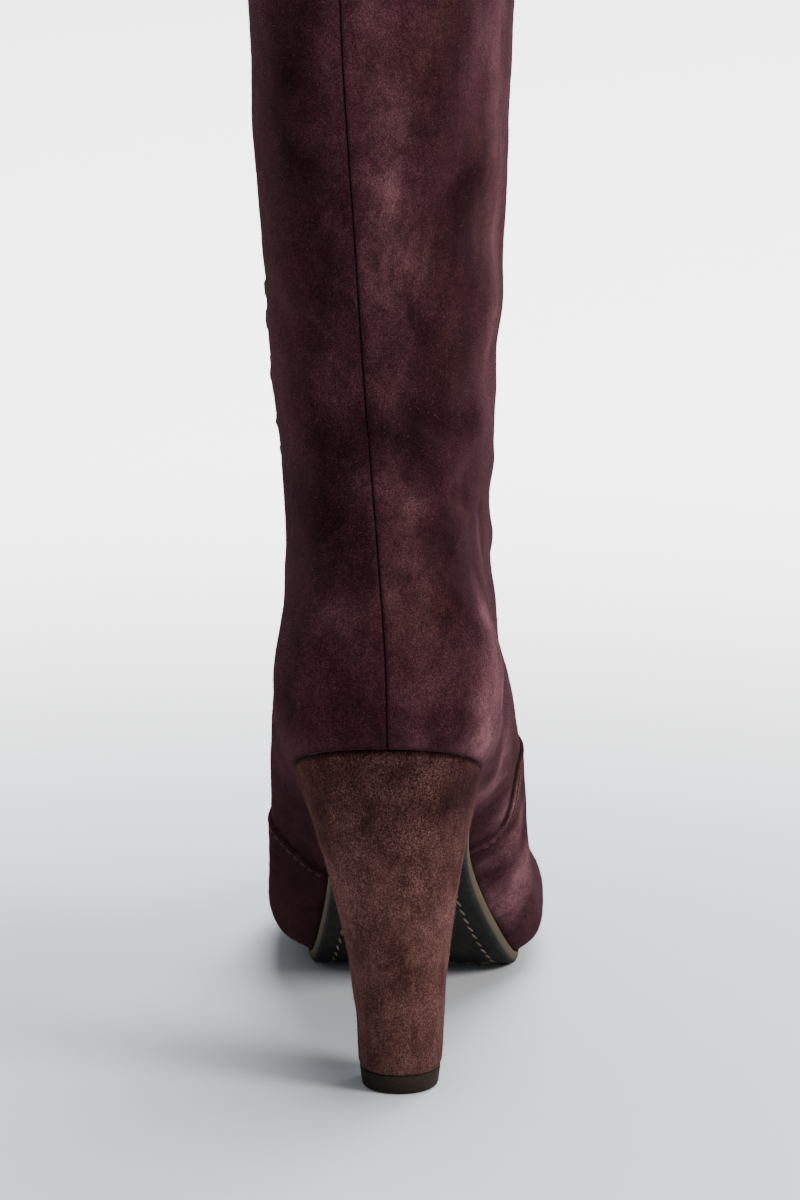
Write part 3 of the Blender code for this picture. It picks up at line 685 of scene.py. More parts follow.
@dataclass(frozen=True)
class BrushedSuede(Finish):
    """Napped calf suede, dyed through: a matt ground clouded by the lie of its nap, with pale fibre tips.

    Two attributes of the piece say where it is lighter, from wear and from painted highlights, and where
    painted shade darkens it in seams, grooves and under edges.
    """

    roughness: float = 0.95
    sheen: float = 0.16
    sheen_roughness: float = 0.27
    sheen_colour: str = "#d8a4b4"
    specular: float = 0.0
    ground: str = "#13070a"
    nap: str = "#230f15"
    tip: str = "#75474f"
    faded_tip: str = "#704a3b"
    # pale pink of painted highlights and of worn places
    worn_and_lit: str = "#704c51"
    # colour of painted shade
    dark: str = "#080304"
    cloud: float = 38.0  # size of the brushed patches
    fade: float = 44.0  # size of the places where the dye has turned browner
    stroke: float = 6.0  # size of the strokes in them
    stroke_share: float = 0.62  # their weight beside the patches
    stroke_run: float = 0.62  # strokes are longer down the boot: their scale in Z
    fibre: float = 0.42  # coarser than real nap (0.1 mm), so that it shows
    tufted: float = 0.25  # share of tufts in the grain
    tuft_run: float = 0.55  # tufts hang downwards: their scale in Z
    standing: float = 0.42  # how much more of the nap stands up where it is brushed
    flattened: float = 0.12  # how much of it stands up anywhere
    relief: float = 0.3

    def surface(self, tree: bpy.types.NodeTree) -> tuple[Any, Any, float]:
        """Clouds and strokes of lying nap, fibre tips, rubbed places and dark hollows."""
        place = add_node(tree, "TexCoord", {}).outputs["Object"]
        # three sizes of pattern: patches, strokes and single fibres
        clouds = add_node(
            tree,
            "TexNoise",
            {},
            {
                "Vector": place,
                "Scale": per_metre(self.cloud),
                "Detail": 5.0,
                "Roughness": 0.55,
                "Distortion": 0.2,
            },
        )
        brushed = add_node(tree, "Mapping", {}, {"Vector": place, "Scale": (1.0, 1.0, self.stroke_run)})
        strokes = add_node(
            tree,
            "TexNoise",
            {},
            {
                "Vector": brushed,
                "Scale": per_metre(self.stroke),
                "Detail": 6.0,
                "Roughness": 0.66,
                "Distortion": 0.3,
            },
        )
        fine = add_node(
            tree,
            "TexNoise",
            {},
            {
                "Vector": place,
                "Scale": per_metre(self.fibre),
                "Detail": 4.0,
                "Roughness": 0.75,
            },
        )
        downward = add_node(tree, "Mapping", {}, {"Vector": place, "Scale": (1.0, 1.0, self.tuft_run)})
        tufts = add_node(tree, "TexVoronoi", {}, {"Vector": downward, "Scale": per_metre(self.fibre / 2)})
        tuft = add_node(tree, "Math", TIMES, {0: tufts.outputs["Color"], 1: self.tufted})
        fibres = add_node(tree, "Math", TIMES_PLUS, {0: fine, 1: 1.0 - self.tufted, 2: tuft})
        # the lie of the nap shades the ground, and lets the pale tips stand up
        part = add_node(tree, "Math", TIMES, {0: strokes, 1: self.stroke_share})
        both = add_node(tree, "Math", PLUS, {0: clouds, 1: part})
        lie = add_node(tree, "MapRange", SOFT_STEP, {VALUE: both, LOW: 0.55, HIGH: 1.1})
        ground = add_node(
            tree, "Mix", COLOURS, {FACTOR: lie, FIRST: linear(self.ground), SECOND: linear(self.nap)}
        )
        grain = add_node(tree, "MapRange", {}, {VALUE: fibres, LOW: 0.45, HIGH: 0.85})
        stand = add_node(tree, "Math", TIMES_PLUS, {0: lie, 1: self.standing, 2: self.flattened})
        tips = add_node(tree, "Math", TIMES, {0: grain, 1: stand})
        faded = add_node(
            tree, "TexNoise", {}, {"Vector": place, "Scale": per_metre(self.fade), "Detail": 3.0}
        )
        brown = add_node(tree, "MapRange", {}, {VALUE: faded, LOW: 0.42, HIGH: 0.62})
        tip = add_node(
            tree, "Mix", COLOURS, {FACTOR: brown, FIRST: linear(self.tip), SECOND: linear(self.faded_tip)}
        )
        napped = add_node(tree, "Mix", COLOURS, {FACTOR: tips, FIRST: ground, SECOND: tip})
        # worn places and painted highlights are broken up by strokes and fibres, and painted shade darkens
        # seams, grooves and edges
        wear_and_highlight = add_node(tree, "Attribute", {"attribute_name": "wear_and_highlight"}).outputs["Fac"]
        broken = add_node(tree, "MapRange", {}, {VALUE: strokes, LOW: 0.36, HIGH: 0.66, START: 0.35})
        fuzzy = add_node(tree, "Math", TIMES_PLUS, {0: grain, 1: 1.3, 2: 0.35})
        uneven = add_node(tree, "Math", TIMES, {0: broken, 1: fuzzy})
        wear_and_painted_light = add_node(tree, "Math", HELD_TIMES, {0: wear_and_highlight, 1: uneven})
        worn_and_lit = add_node(tree, "Mix", COLOURS, {FACTOR: wear_and_painted_light, FIRST: napped, SECOND: linear(self.worn_and_lit)})
        painted_shade = add_node(tree, "Attribute", {"attribute_name": "painted_shade"}).outputs["Fac"]
        final = add_node(tree, "Mix", COLOURS, {FACTOR: painted_shade, FIRST: worn_and_lit, SECOND: linear(self.dark)})
        height = add_node(tree, "Math", TIMES_PLUS, {0: strokes, 1: 0.5, 2: fine})
        return final.outputs[MIXED], height.outputs[0], self.relief


@dataclass(frozen=True)
class SoleLeather(Finish):
    """Dyed sole leather, finished with a dark stain that is scuffed thin; its cut edge is rubbed bare.

    The attribute "edge" is 1 on the cut edge, and a second attribute is where that edge is worn to raw
    leather.
    """

    roughness: float = 0.75
    specular: float = 0.1
    stain: str = "#141413"
    scuffed: str = "#242320"
    edge_dye: str = "#463f34"
    raw: str = "#8c7440"
    scuff: float = 2.2  # width of a scuff, which is four times as long
    scuff_run: float = 0.25
    cloud: float = 16.0
    relief: float = 0.12

    def surface(self, tree: bpy.types.NodeTree) -> tuple[Any, Any, float]:
        """Stain with long scuffs, and the edge's brown dye worn to raw leather."""
        place = add_node(tree, "TexCoord", {}).outputs["Object"]
        run = add_node(tree, "Mapping", {}, {"Vector": place, "Scale": (1.0, self.scuff_run, 1.0)})
        scuffs = add_node(
            tree,
            "TexNoise",
            {},
            {
                "Vector": run,
                "Scale": per_metre(self.scuff),
                "Detail": 5.0,
                "Roughness": 0.7,
            },
        )
        cloud = add_node(
            tree, "TexNoise", {}, {"Vector": place, "Scale": per_metre(self.cloud), "Detail": 3.0}
        )
        both = add_node(tree, "Math", TIMES, {0: scuffs, 1: cloud})
        amount = add_node(tree, "MapRange", {}, {VALUE: both, LOW: 0.2, HIGH: 0.42})
        under = add_node(
            tree, "Mix", COLOURS, {FACTOR: amount, FIRST: linear(self.stain), SECOND: linear(self.scuffed)}
        )
        edge = add_node(tree, "Attribute", {"attribute_name": "edge"}).outputs["Fac"]
        dyed = add_node(tree, "Mix", COLOURS, {FACTOR: edge, FIRST: under, SECOND: linear(self.edge_dye)})
        wear_and_highlight = add_node(tree, "Attribute", {"attribute_name": "wear_and_highlight"}).outputs["Fac"]
        patchy = add_node(tree, "MapRange", {}, {VALUE: scuffs, LOW: 0.35, HIGH: 0.6})
        wear_and_painted_light = add_node(tree, "Math", HELD_TIMES, {0: wear_and_highlight, 1: patchy})
        final = add_node(tree, "Mix", COLOURS, {FACTOR: wear_and_painted_light, FIRST: dyed, SECOND: linear(self.raw)})
        return final.outputs[MIXED], scuffs.outputs[0], self.relief


@dataclass(frozen=True)
class Grained(Finish):
    """A plain material with a fine grain: two close colours in fine noise, and the same noise as relief."""

    low: str = "#202020"
    high: str = "#303030"
    size: float = 0.8  # size of the grain
    drift: float = 14.0  # size of the slow drift, in grains
    relief: float = 0.08
    detail: float = 4.0

    def surface(self, tree: bpy.types.NodeTree) -> tuple[Any, Any, float]:
        """Fine noise in colour and relief, over a slow drift."""
        place = add_node(tree, "TexCoord", {}).outputs["Object"]
        grain = add_node(
            tree, "TexNoise", {}, {"Vector": place, "Scale": per_metre(self.size), "Detail": self.detail}
        )
        drift = add_node(tree, "TexNoise", {}, {"Vector": place, "Scale": per_metre(self.size * self.drift)})
        both = add_node(tree, "Math", PLUS, {0: grain, 1: drift})
        amount = add_node(tree, "MapRange", {}, {VALUE: both, LOW: 0.7, HIGH: 1.3})
        colour = add_node(
            tree, "Mix", COLOURS, {FACTOR: amount, FIRST: linear(self.low), SECOND: linear(self.high)}
        )
        return colour.outputs[MIXED], grain.outputs[0], self.relief


@dataclass(frozen=True)
class WovenTape(Finish):
    """Polyester zip tape: a herringbone weave, drawn three times as coarse as the real one so it shows.

    The attributes "across" and "along" of the piece give the place on the tape, in millimetres.
    """

    warp: str = "#1a0d0f"
    weft: str = "#2d191b"
    thread: float = 0.9
    half_rib: float = 1.1  # from the tape's edge to where the ribs turn back
    relief: float = 0.15

    def surface(self, tree: bpy.types.NodeTree) -> tuple[Any, Any, float]:
        """Slanting ribs that turn back at the middle of each half of the tape."""
        across = add_node(tree, "Attribute", {"attribute_name": "across"}).outputs["Fac"]
        along = add_node(tree, "Attribute", {"attribute_name": "along"}).outputs["Fac"]
        fold = add_node(tree, "Math", {"operation": "PINGPONG"}, {0: across, 1: self.half_rib})
        slanted = add_node(tree, "Math", PLUS, {0: fold, 1: along})
        turns = add_node(tree, "Math", TIMES, {0: slanted, 1: 2 * math.pi / self.thread})
        wave = add_node(tree, "Math", {"operation": "SINE"}, {0: turns})
        rib = add_node(tree, "MapRange", {}, {VALUE: wave, LOW: -1.0, HIGH: 1.0})
        colour = add_node(
            tree, "Mix", COLOURS, {FACTOR: rib, FIRST: linear(self.warp), SECOND: linear(self.weft)}
        )
        return colour.outputs[MIXED], rib.outputs[0], self.relief


# Calf suede, burgundy brown: almost no gloss, pale where the nap catches a low light.
UPPER_SUEDE = BrushedSuede("brushed_suede")
# The same suede on the heel, stretched and handled: browner, with painted light that pales its lower part.
HEEL_SUEDE = BrushedSuede(
    "stretched_suede",
    sheen=0.1,
    ground="#1f0b0b",
    nap="#361c1c",
    tip="#a27c74",
    faded_tip="#967058",
    worn_and_lit="#76534e",
    cloud=24.0,
    fibre=0.5,
    standing=0.9,
    relief=0.5,
)
# Vegetable-tanned sole leather, stained nearly black: dull, with its dye gone thin in scuffs.
SOLE = SoleLeather("stained_sole_leather")
# Full-grain lining leather: low satin gloss, a fine pore.
LINING = Grained("pigskin_lining", roughness=0.62, specular=0.3, low="#4d352c", high="#694b3e", size=1.1)
# Vegetable-tanned sock leather: smoother and paler than the lining.
SOCK = Grained("smooth_sock_leather", roughness=0.5, specular=0.4, low="#5b4231", high="#7b5c45", size=1.6)
# Hard top-piece rubber: satin, with dust in its texture.
RUBBER = Grained(
    "hard_rubber", roughness=0.8, specular=0.15, low="#19130f", high="#2b221b", size=0.9, relief=0.06
)
# Bonded polyester thread, matched to the suede; slight gloss.
THREAD = Grained(
    "polyester_thread", roughness=0.5, specular=0.4, low="#2a1214", high="#42201f", size=0.4, relief=0.04
)
# Loose fibres of calf suede: matt, a little paler at the tips than the nap that they stand out of.
LOOSE_NAP = Grained(
    "loose_calf_fibre", roughness=0.9, specular=0.1, low="#3d2227", high="#6f4c4d", size=4.0, relief=0.01
)
# Waxed linen thread of the sole, undyed: pale and dusty.
SOLE_THREAD = Grained(
    "waxed_linen_thread", roughness=0.75, specular=0.2, low="#5c5344", high="#877a62", size=0.5, relief=0.05
)
# Nylon coil of the zip: dark, semi-matt.
COIL = Grained(
    "nylon_coil", roughness=0.42, specular=0.5, low="#180c0e", high="#2c191b", size=0.6, relief=0.02
)
# Polyester tape, woven and dyed with the suede: matt, with a little shine on its threads.
TAPE = WovenTape("woven_zip_tape", roughness=0.85, specular=0.2)
# Nickel plate gone dark with handling: a soft metal gleam with fine rub marks.
NICKEL = Grained(
    "dark_nickel", roughness=0.34, metallic=1.0, low="#37322e", high="#57504a", size=0.5, relief=0.02
)


# --- upper ---------------------------------------------------------------------------------------
Fold = namedtuple("Fold", "turn z length width depth tilt")
FOLDS = (
    # turn (0 back, 90 inner, 180 front, 270 outer), height, length, half width, depth, tilt in degrees
    Fold(180, 104, 70, 6.0, -1.3, 0),
    Fold(176, 124, 88, 7.0, -1.9, 4),
    Fold(184, 146, 78, 7.0, -1.6, -5),
    Fold(178, 172, 64, 7.5, -1.1, 3),
    Fold(228, 136, 56, 6.0, -1.2, 24),
    Fold(238, 160, 60, 6.5, -1.2, 18),
    Fold(134, 140, 50, 6.0, -1.0, -22),
    Fold(128, 166, 46, 6.5, -0.9, -16),
    Fold(318, 181, 44, 5.0, -1.1, -14),
    Fold(336, 199, 58, 6.0, -1.2, 20),
    Fold(292, 205, 52, 7.5, -1.3, -10),
    Fold(283, 232, 60, 9.0, 1.3, 12),
    Fold(300, 254, 70, 9.0, -1.0, 32),
    Fold(274, 49, 44, 3.2, 0.5, 60),
    Fold(277, 43, 36, 3.0, -0.4, 55),
    Fold(300, 76, 40, 5.0, -0.8, 50),
    Fold(309, 85, 40, 5.0, 0.7, 50),
    Fold(349, 199, 34, 4.5, 1.1, 38),
    Fold(351, 190, 34, 4.5, -1.1, 30),
    Fold(324, 177, 24, 2.4, 0.6, 14),
    Fold(321, 171, 22, 2.2, -0.6, 10),
    Fold(22, 196, 46, 6.0, -0.7, -14),
    Fold(36, 228, 50, 7.0, -0.8, 12),
    Fold(320, 262, 60, 8.0, -0.7, -48),
    Fold(330, 300, 70, 10.0, 0.7, 60),
    Fold(322, 113, 26, 3.2, -1.0, -42),
    Fold(10, 430, 110, 10.0, -1.3, 3),
    Fold(352, 452, 120, 11.0, -1.6, -5),
    Fold(4, 478, 100, 10.0, -1.2, 6),
    Fold(60, 446, 80, 9.0, -0.9, -16),
    Fold(296, 462, 80, 9.0, -0.9, 18),
    Fold(250, 380, 90, 12.0, -0.8, 40),
    Fold(200, 300, 90, 12.0, -0.7, -35),
    Fold(150, 350, 80, 12.0, -0.6, 30),
    Fold(270, 540, 100, 13.0, -0.8, -24),
    Fold(20, 560, 90, 13.0, -0.7, 20),
)
Patch = namedtuple("Patch", "turn z width height light")
PATCHES = (
    # turn, height, half width, half height, and how much lighter (or darker, below 0) the suede is there:
    # brushed nap, painted highlights (the strongest ones, on the counter, quarter and forefoot, and the band
    # at the outer edge) and painted shade (the dark ones on the inner side, turns 20 to 100)
    Patch(345, 272, 6, 24, 0.5),
    Patch(350, 216, 5, 16, 0.4),
    Patch(4, 300, 4, 18, 0.15),
    Patch(12, 208, 5, 6, 0.3),
    Patch(1, 186, 7, 6, 0.35),
    Patch(296, 307, 7, 14, 0.45),
    Patch(339, 241, 9, 10, 0.4),
    Patch(348, 236, 6, 10, 0.3),
    Patch(348, 177, 5, 4, 0.5),
    Patch(353, 160, 7, 10, 0.12),
    Patch(356, 150, 6, 7, 0.3),
    Patch(330, 138, 7, 9, 0.4),
    Patch(277, 250, 8, 70, 0.5),
    Patch(294, 200, 6, 16, 0.35),
    Patch(309, 153, 5, 16, 0.4),
    Patch(303, 195, 9, 55, -0.6),
    Patch(324, 200, 18, 22, -0.45),
    Patch(346, 202, 12, 14, -0.5),
    Patch(332, 136, 6, 10, 2.0),
    Patch(325, 115, 6, 20, 1.8),
    Patch(337, 119, 8, 9, 2.0),
    Patch(338, 105, 12, 7, 1.9),
    Patch(20, 285, 13, 50, -0.5),
    Patch(9, 218, 6, 16, 0.2),
    Patch(314, 282, 14, 44, -0.4),
    Patch(308, 259, 8, 16, -0.35),
    Patch(336, 222, 11, 14, -0.5),
    Patch(352, 194, 8, 5, -0.3),
    Patch(338, 169, 9, 9, -0.5),
    Patch(341, 149, 6, 8, -0.35),
    Patch(12, 150, 14, 10, 0.3),
    Patch(343, 137, 7, 8, 0.6),
    Patch(45, 300, 34, 190, -0.35),
    Patch(40, 130, 30, 40, -0.3),
    Patch(304, 86, 10, 12, 2.4),
    Patch(286, 72, 7, 9, 2.2),
    Patch(266, 38, 8, 12, 2.0),
    Patch(295, 62, 6, 7, -0.35),
    Patch(276, 52, 6, 12, 2.0),
    Patch(259, 28, 10, 11, 1.3),
    Patch(256, 17, 9, 4, -0.3),
    Patch(100, 30, 40, 26, -0.45),
)
VAMP_TOP = 8.0  # the ring at which the vamp's two edges meet
SWELL, DIMPLE, RIPPLE = Unevenness(0.42, 74.0, 3), Unevenness(0.16, 27.0, 5), Unevenness(0.05, 9.0, 8)
STITCH = (1.1, 0.26, 0.24)  # half the length, width and height of a stitch
WEAR_AND_HIGHLIGHT_MOST = 2.5  # beyond 1, wear and painted highlights cover even the nap's dark strokes
# The vamp's edge from the sole to the middle of the instep, seen from each side: steep, then level.
VAMP_OUTER = (
    # y, z
    (-66.2, 50.0),
    (-66.0, 56.0),
    (-65.2, 61.0),
    (-62.8, 66.5),
    (-59.5, 72.5),
    (-57.0, 78.0),
    (-56.0, 82.0),
    (-57.0, 86.0),
    (-60.5, 89.2),
    (-66.0, 90.8),
    (-73.0, 91.6),
    (-81.0, 92.8),
    (-90.0, 94.0),
    (-100.0, 94.5),
    (-110.0, 93.6),
    (-120.0, 92.0),
)
VAMP_INNER = (
    # y, z
    (-76.0, 36.0),
    (-76.4, 44.0),
    (-76.8, 52.0),
    (-77.3, 59.0),
    (-78.7, 65.0),
    (-81.5, 70.5),
    (-85.5, 76.0),
    (-90.5, 81.5),
    (-97.0, 87.0),
    (-105.0, 90.8),
    (-112.0, 92.0),
    (-120.0, 92.0),
)
# Columns of the skin beside a seam, and beside an edge, by their distance from it.
SEAM_STEPS = (0.0, 0.22, 0.45, 0.7, 1.0, 1.4, 1.9, 2.6, 3.5, 4.7, 6.2)
LIP_STEPS = (0.0, 0.4, 0.9, 1.6, 2.4, 3.4, 4.6, 6.0)


Turn = namedtuple("Turn", "length zip_place front v")  # once round the form: distances, and the ring


@dataclass(frozen=True)
class Survey:
    """What the form says at rows of points: for each its place, distances and ring."""

    points: Table
    place: np.ndarray  # distance round its ring, from the back by the inner side
    length: np.ndarray  # of its whole ring
    zip: np.ndarray  # distance of the zip round its ring
    v: np.ndarray  # place up the boot, counted in rings
    middle: np.ndarray  # the middle of each ring


@dataclass
class Upper:
    """The suede upper: quarters and shaft in one skin, the vamp laid over it, and the lining inside."""

    last: Last
    rows_per_ring: int = 13
    zip_first: float = 5.0
    zip_last: float = 22.0
    slot: float = 8.0
    counts: tuple[int, int, int] = (24, 50, 100)  # columns between back, zip, front and back again
    seam_depth: float = 0.95
    vamp_thick: float = 1.0
    vamp_columns: int = 84
    vamp_rows: int = 110
    facing_rows: int = 12  # rows, of about 1.2 mm, that the suede turns down inside the collar
    stitch: float = 2.9
    sewn_in: float = 2.3  # from the vamp's edge to its stitches
    fibres: int = 24000
    vamp_fibres: int = 3600
    stiffening: float = 0.55  # how much flatter the counter and vamp keep the suede
    ring_step: float = 29.0  # mean rise from ring to ring
    top_step: float = 14.0  # and that of the topmost ring
    collar_sewn_in: float = 3.2
    turned_under: float = 4.0  # how far the suede goes in under the foot
    inside_y: float = -30.0  # y of a place inside both leg and foot, for turning faces
    free_of_zip: float = 13.0  # loose fibres keep this far from the zip
    free_of_vamp: float = 2.0  # and this far from the vamp
    shoulder: float = 1.4  # least spread of the vamp's middle columns, against its edges'
    rows_to_edge: float = 1.6  # how the vamp's rows crowd towards its top
    sampling: float = 3.2  # between the points where the vamp's edge is read
    around: int = 200  # points round a ring where its normals are taken

    def __post_init__(self) -> None:
        """Reads off the rings that the vamp's edge crosses on each side."""
        self.vamp_edge = {
            Side.INNER: self.crossings(VAMP_INNER, Side.INNER),
            Side.OUTER: self.crossings(VAMP_OUTER, Side.OUTER),
        }

    def crossings(self, rows: Sequence[tuple[float, float]], side: Side) -> tuple[np.ndarray, np.ndarray]:
        """Where a line drawn on one side of the form crosses its rings.

        Args:
            rows: y and z of the line's points.
            side: the side it is drawn on.

        Returns:
            Rings, rising, and the line's y at each.
        """
        line = np.array(rows)
        along = distances(line)
        places = np.linspace(0.0, along[-1], 240)
        y, z = (smooth_spline(along, line[:, k])(places) for k in range(2))
        rings = np.linspace(0.0, VAMP_TOP, 161)
        heights = []
        for v in rings:
            points = self.last.side(v, side)
            heights.append(np.interp(-y, -points[:, 1], points[:, 2] - GAP))
        found = [np.interp(z[k], column, rings) for k, column in enumerate(np.array(heights).T)]
        return np.maximum.accumulate(np.array(found)) + np.arange(len(y)) * 1e-7, y

    def column_places(self, turn: Turn) -> np.ndarray:
        """Distances round a ring of the skin's columns; the slot's inner four are left out."""
        length, zip_place, front, _ = turn
        half = self.slot / 2
        seam, lip = np.array(SEAM_STEPS), np.array(LIP_STEPS)
        to_zip = np.linspace(seam[-1], zip_place - half - lip[-1], self.counts[0] + 1)[1:-1]
        to_front = np.linspace(zip_place + half + lip[-1], front, self.counts[1] + 1)[1:]
        home = np.linspace(front, length - seam[-1], self.counts[2] + 1)[1:-1]
        before, after = zip_place - half - lip[::-1], zip_place + half + lip
        return np.concatenate((seam, to_zip, before, after, to_front, home, length - seam[::-1]))

    def slot_column(self) -> int:
        """Column of the slot's rear edge."""
        return len(SEAM_STEPS) + self.counts[0] - 1 + len(LIP_STEPS) - 1

    def relief(self, found: Survey) -> np.ndarray:
        """How far the suede stands out from the last's form, apart from its seams, in millimetres."""
        points, place, length = found.points, found.place, found.length
        lift = SWELL.at(points) + DIMPLE.at(points)
        stiff = 1 - self.stiffening * (1 - ramp(found.v, 2.5, 6.5))
        lift = lift * stiff + RIPPLE.at(points)
        for fold in FOLDS:
            round_by = (place / length - fold.turn / 360 + 0.5) % 1.0 - 0.5
            across, up = round_by * length, points[..., 2] - fold.z
            tilt = math.radians(fold.tilt)
            along = across * math.cos(tilt) + up * math.sin(tilt)
            off = (up * math.cos(tilt) - across * math.sin(tilt)) / fold.width
            # a fold pushes the suede up a little on both its sides
            wave = np.exp(-(off**2)) - 0.42 * np.exp(-((np.abs(off) - 1.7) ** 2))
            lift = lift + fold.depth * wave * bump(along, fold.length / 2)
        return lift

    def lips(self, found: Survey) -> np.ndarray:
        """Relief of the back seam, the placket's two edges and the closed seam above the zip."""
        v = found.v
        back = np.minimum(found.place, found.length - found.place)
        # a seam is a groove between two low rolls
        lift = 0.22 * bump(back - 1.5, 1.1) - self.seam_depth * bump(back, 0.3)
        off = found.place - found.zip
        edge = np.abs(off) - self.slot / 2
        on_zip = ramp(v, self.zip_first - 0.3, self.zip_first) * (
            1 - ramp(v, self.zip_last - 0.05, self.zip_last + 0.25)
        )
        # the placket's lips stand up, and pucker unevenly where the tape holds them
        height = v * self.ring_step
        pucker = np.sin(height * 0.36 + 2.1 * np.sin(height * 0.083) + np.sign(off))
        pucker = pucker + 0.35 * np.sin(height * 0.93 + 1.3 * np.sin(height * 0.12) - np.sign(off))
        lift += on_zip * (0.6 * bump(edge, 2.2) - 0.3 * bump(edge - 2.9, 0.6))
        lift += on_zip * (0.16 + 0.5 * pucker) * bump(edge - 1.0, 3.6)
        above = ramp(v, self.zip_last, self.zip_last + 0.3)
        lift += above * (0.3 * bump(np.abs(off) - 1.9, 1.2) - self.seam_depth * bump(off, 0.5))
        return lift

    def survey(self, vs: np.ndarray, places_for: Callable[[Turn], np.ndarray]) -> Survey:
        """Reads the form at rows vs.

        Args:
            vs: places up the boot.
            places_for: gives a row's distances round the ring.

        Returns:
            What the form says there.
        """
        points, places, lengths, zips, middles = [], [], [], [], []
        for v in vs:
            ring, along, zip_place, front = self.last.loop(v)
            spots = places_for(Turn(along[-1], zip_place, front, v))
            points.append(np.stack([np.interp(spots, along, ring[:, k]) for k in range(3)], axis=1))
            places.append(spots)
            lengths.append(np.full(len(spots), along[-1]))
            zips.append(np.full(len(spots), zip_place))
            middles.append(ring.mean(axis=0))
        rows = np.repeat(vs[:, None], len(places[0]), axis=1)
        return Survey(*map(np.array, (points, places, lengths, zips, rows, middles)))

    def form_normals(self, vs: np.ndarray, place: np.ndarray) -> np.ndarray:
        """The form's outward normals at distances round its rings.

        Args:
            vs: places up the boot, one for each row.
            place: for each row, distances round its ring.

        Returns:
            Unit normals: rows, columns, xyz.
        """
        wide = self.survey(vs, lambda turn: np.linspace(0, turn.length, self.around))
        around = normals_of(wide.points, wide.middle)
        rows = [
            np.stack([np.interp(spots, along, ring[:, k]) for k in range(3)], axis=1)
            for spots, along, ring in zip(place, wide.place, around)
        ]
        normal = np.array(rows)
        return normal / np.linalg.norm(normal, axis=2, keepdims=True)

    def skin(self) -> tuple[Table, np.ndarray, Survey]:
        """The skin's crossing points with their relief, its normals, and what the form says there."""
        rings = int(self.last.topline)
        found = self.survey(np.linspace(0.0, rings, rings * self.rows_per_ring + 1), self.column_places)
        normal = normals_of(found.points, found.middle)
        lift = (self.relief(found) + self.lips(found)) * self.settling(found)
        lift[:, -1] = lift[:, 0]
        return found.points + normal * lift[..., None], normal, found

    def settling(self, found: Survey) -> np.ndarray:
        """Share of the relief that is left where the suede is lasted tight to the sole."""
        return 0.25 + 0.75 * ramp(found.v, 0.0, 1.0)

    def vamp_edges(self, v: float, length: float) -> tuple[float, float]:
        """Distances round the ring at v of the vamp's inner and outer edges."""
        found = []
        for side in (Side.INNER, Side.OUTER):
            y = float(np.interp(v, *self.vamp_edge[side]))
            line = self.last.side(v, side)
            found.append(float(np.interp(-y, -line[:, 1], distances(line))))
        return found[0], length - found[1]

    def build(self) -> None:
        """Makes every piece of the upper."""
        table, normal, found = self.skin()
        vamp_line = self.make_vamp()
        self.make_skin(table, normal, found, vamp_line)
        self.make_lining()
        self.make_threads(table, normal)
        self.make_fuzz(table, normal, found)

    def make_fuzz(self, table: Table, normal: np.ndarray, found: Survey) -> None:
        """Loose fibres on the quarters and shaft, away from the zip and the vamp.

        Args:
            table: the skin's points.
            normal: its normals.
            found: what the form says at each point.
        """
        place, v = found.place, found.v
        allowed = (v > 0.5) & (np.abs(found.zip - place) > self.free_of_zip)
        for row in np.flatnonzero(v[:, 0] < VAMP_TOP):
            low, high = self.vamp_edges(float(v[row, 0]), float(found.length[row, 0]))
            allowed[row] &= (place[row] < low - self.free_of_vamp) | (place[row] > high + self.free_of_vamp)
        bm = loose_fibres(table, normal, allowed, self.fibres, 31)
        new_piece("loose_suede_fibres", bm, LOOSE_NAP, Body.BOOT)

    def make_skin(self, table: Table, normal: np.ndarray, found: Survey, vamp_line: np.ndarray) -> None:
        """Quarters and shaft: one skin with the zip's slot open and its edges turned in."""
        first = self.slot_column()
        v, rows = found.v[:, 0], len(table)
        middle = (table[:, first] + table[:, first + 1]) / 2
        inward = -(normal[:, first] + normal[:, first + 1]) / 2
        on_zip = (v > self.zip_first - 1e-6) & (v < self.zip_last + 1e-6)
        above = v > self.zip_last + 0.5 / self.rows_per_ring
        rims = []
        for column, sign in ((first, 1), (first + 1, -1)):
            edge = table[:, column]
            to_middle = middle - edge
            to_middle /= np.linalg.norm(to_middle, axis=1)[:, None]
            shallow = edge + to_middle * 0.25 + inward * 0.5
            deep = edge + to_middle * 0.35 + inward * 2.0
            closed_near = middle - to_middle * 0.7 + inward * 0.1
            closed_deep = middle - to_middle * 0.001 + inward * self.seam_depth
            plain_near = edge + (middle - edge) * 0.35
            plain_deep = edge + (middle - edge) * 0.75
            near = np.where(on_zip[:, None], shallow, np.where(above[:, None], closed_near, plain_near))
            far = np.where(on_zip[:, None], deep, np.where(above[:, None], closed_deep, plain_deep))
            rims.append((near, far))
        (near_a, far_a), (near_b, far_b) = rims
        extra = np.stack((near_a, far_a, far_b, near_b), axis=1)
        full = np.concatenate((table[:, : first + 1], extra, table[:, first + 1 :]), axis=1)
        spread = np.r_[np.arange(first + 1), [first] * 4, np.arange(first + 1, table.shape[1])]
        out = normal[:, spread]
        wear_and_highlight, painted_shade = self.wear_and_painted_light(found, table, vamp_line)
        wear_and_highlight, painted_shade = wear_and_highlight[:, spread], painted_shade[:, spread]
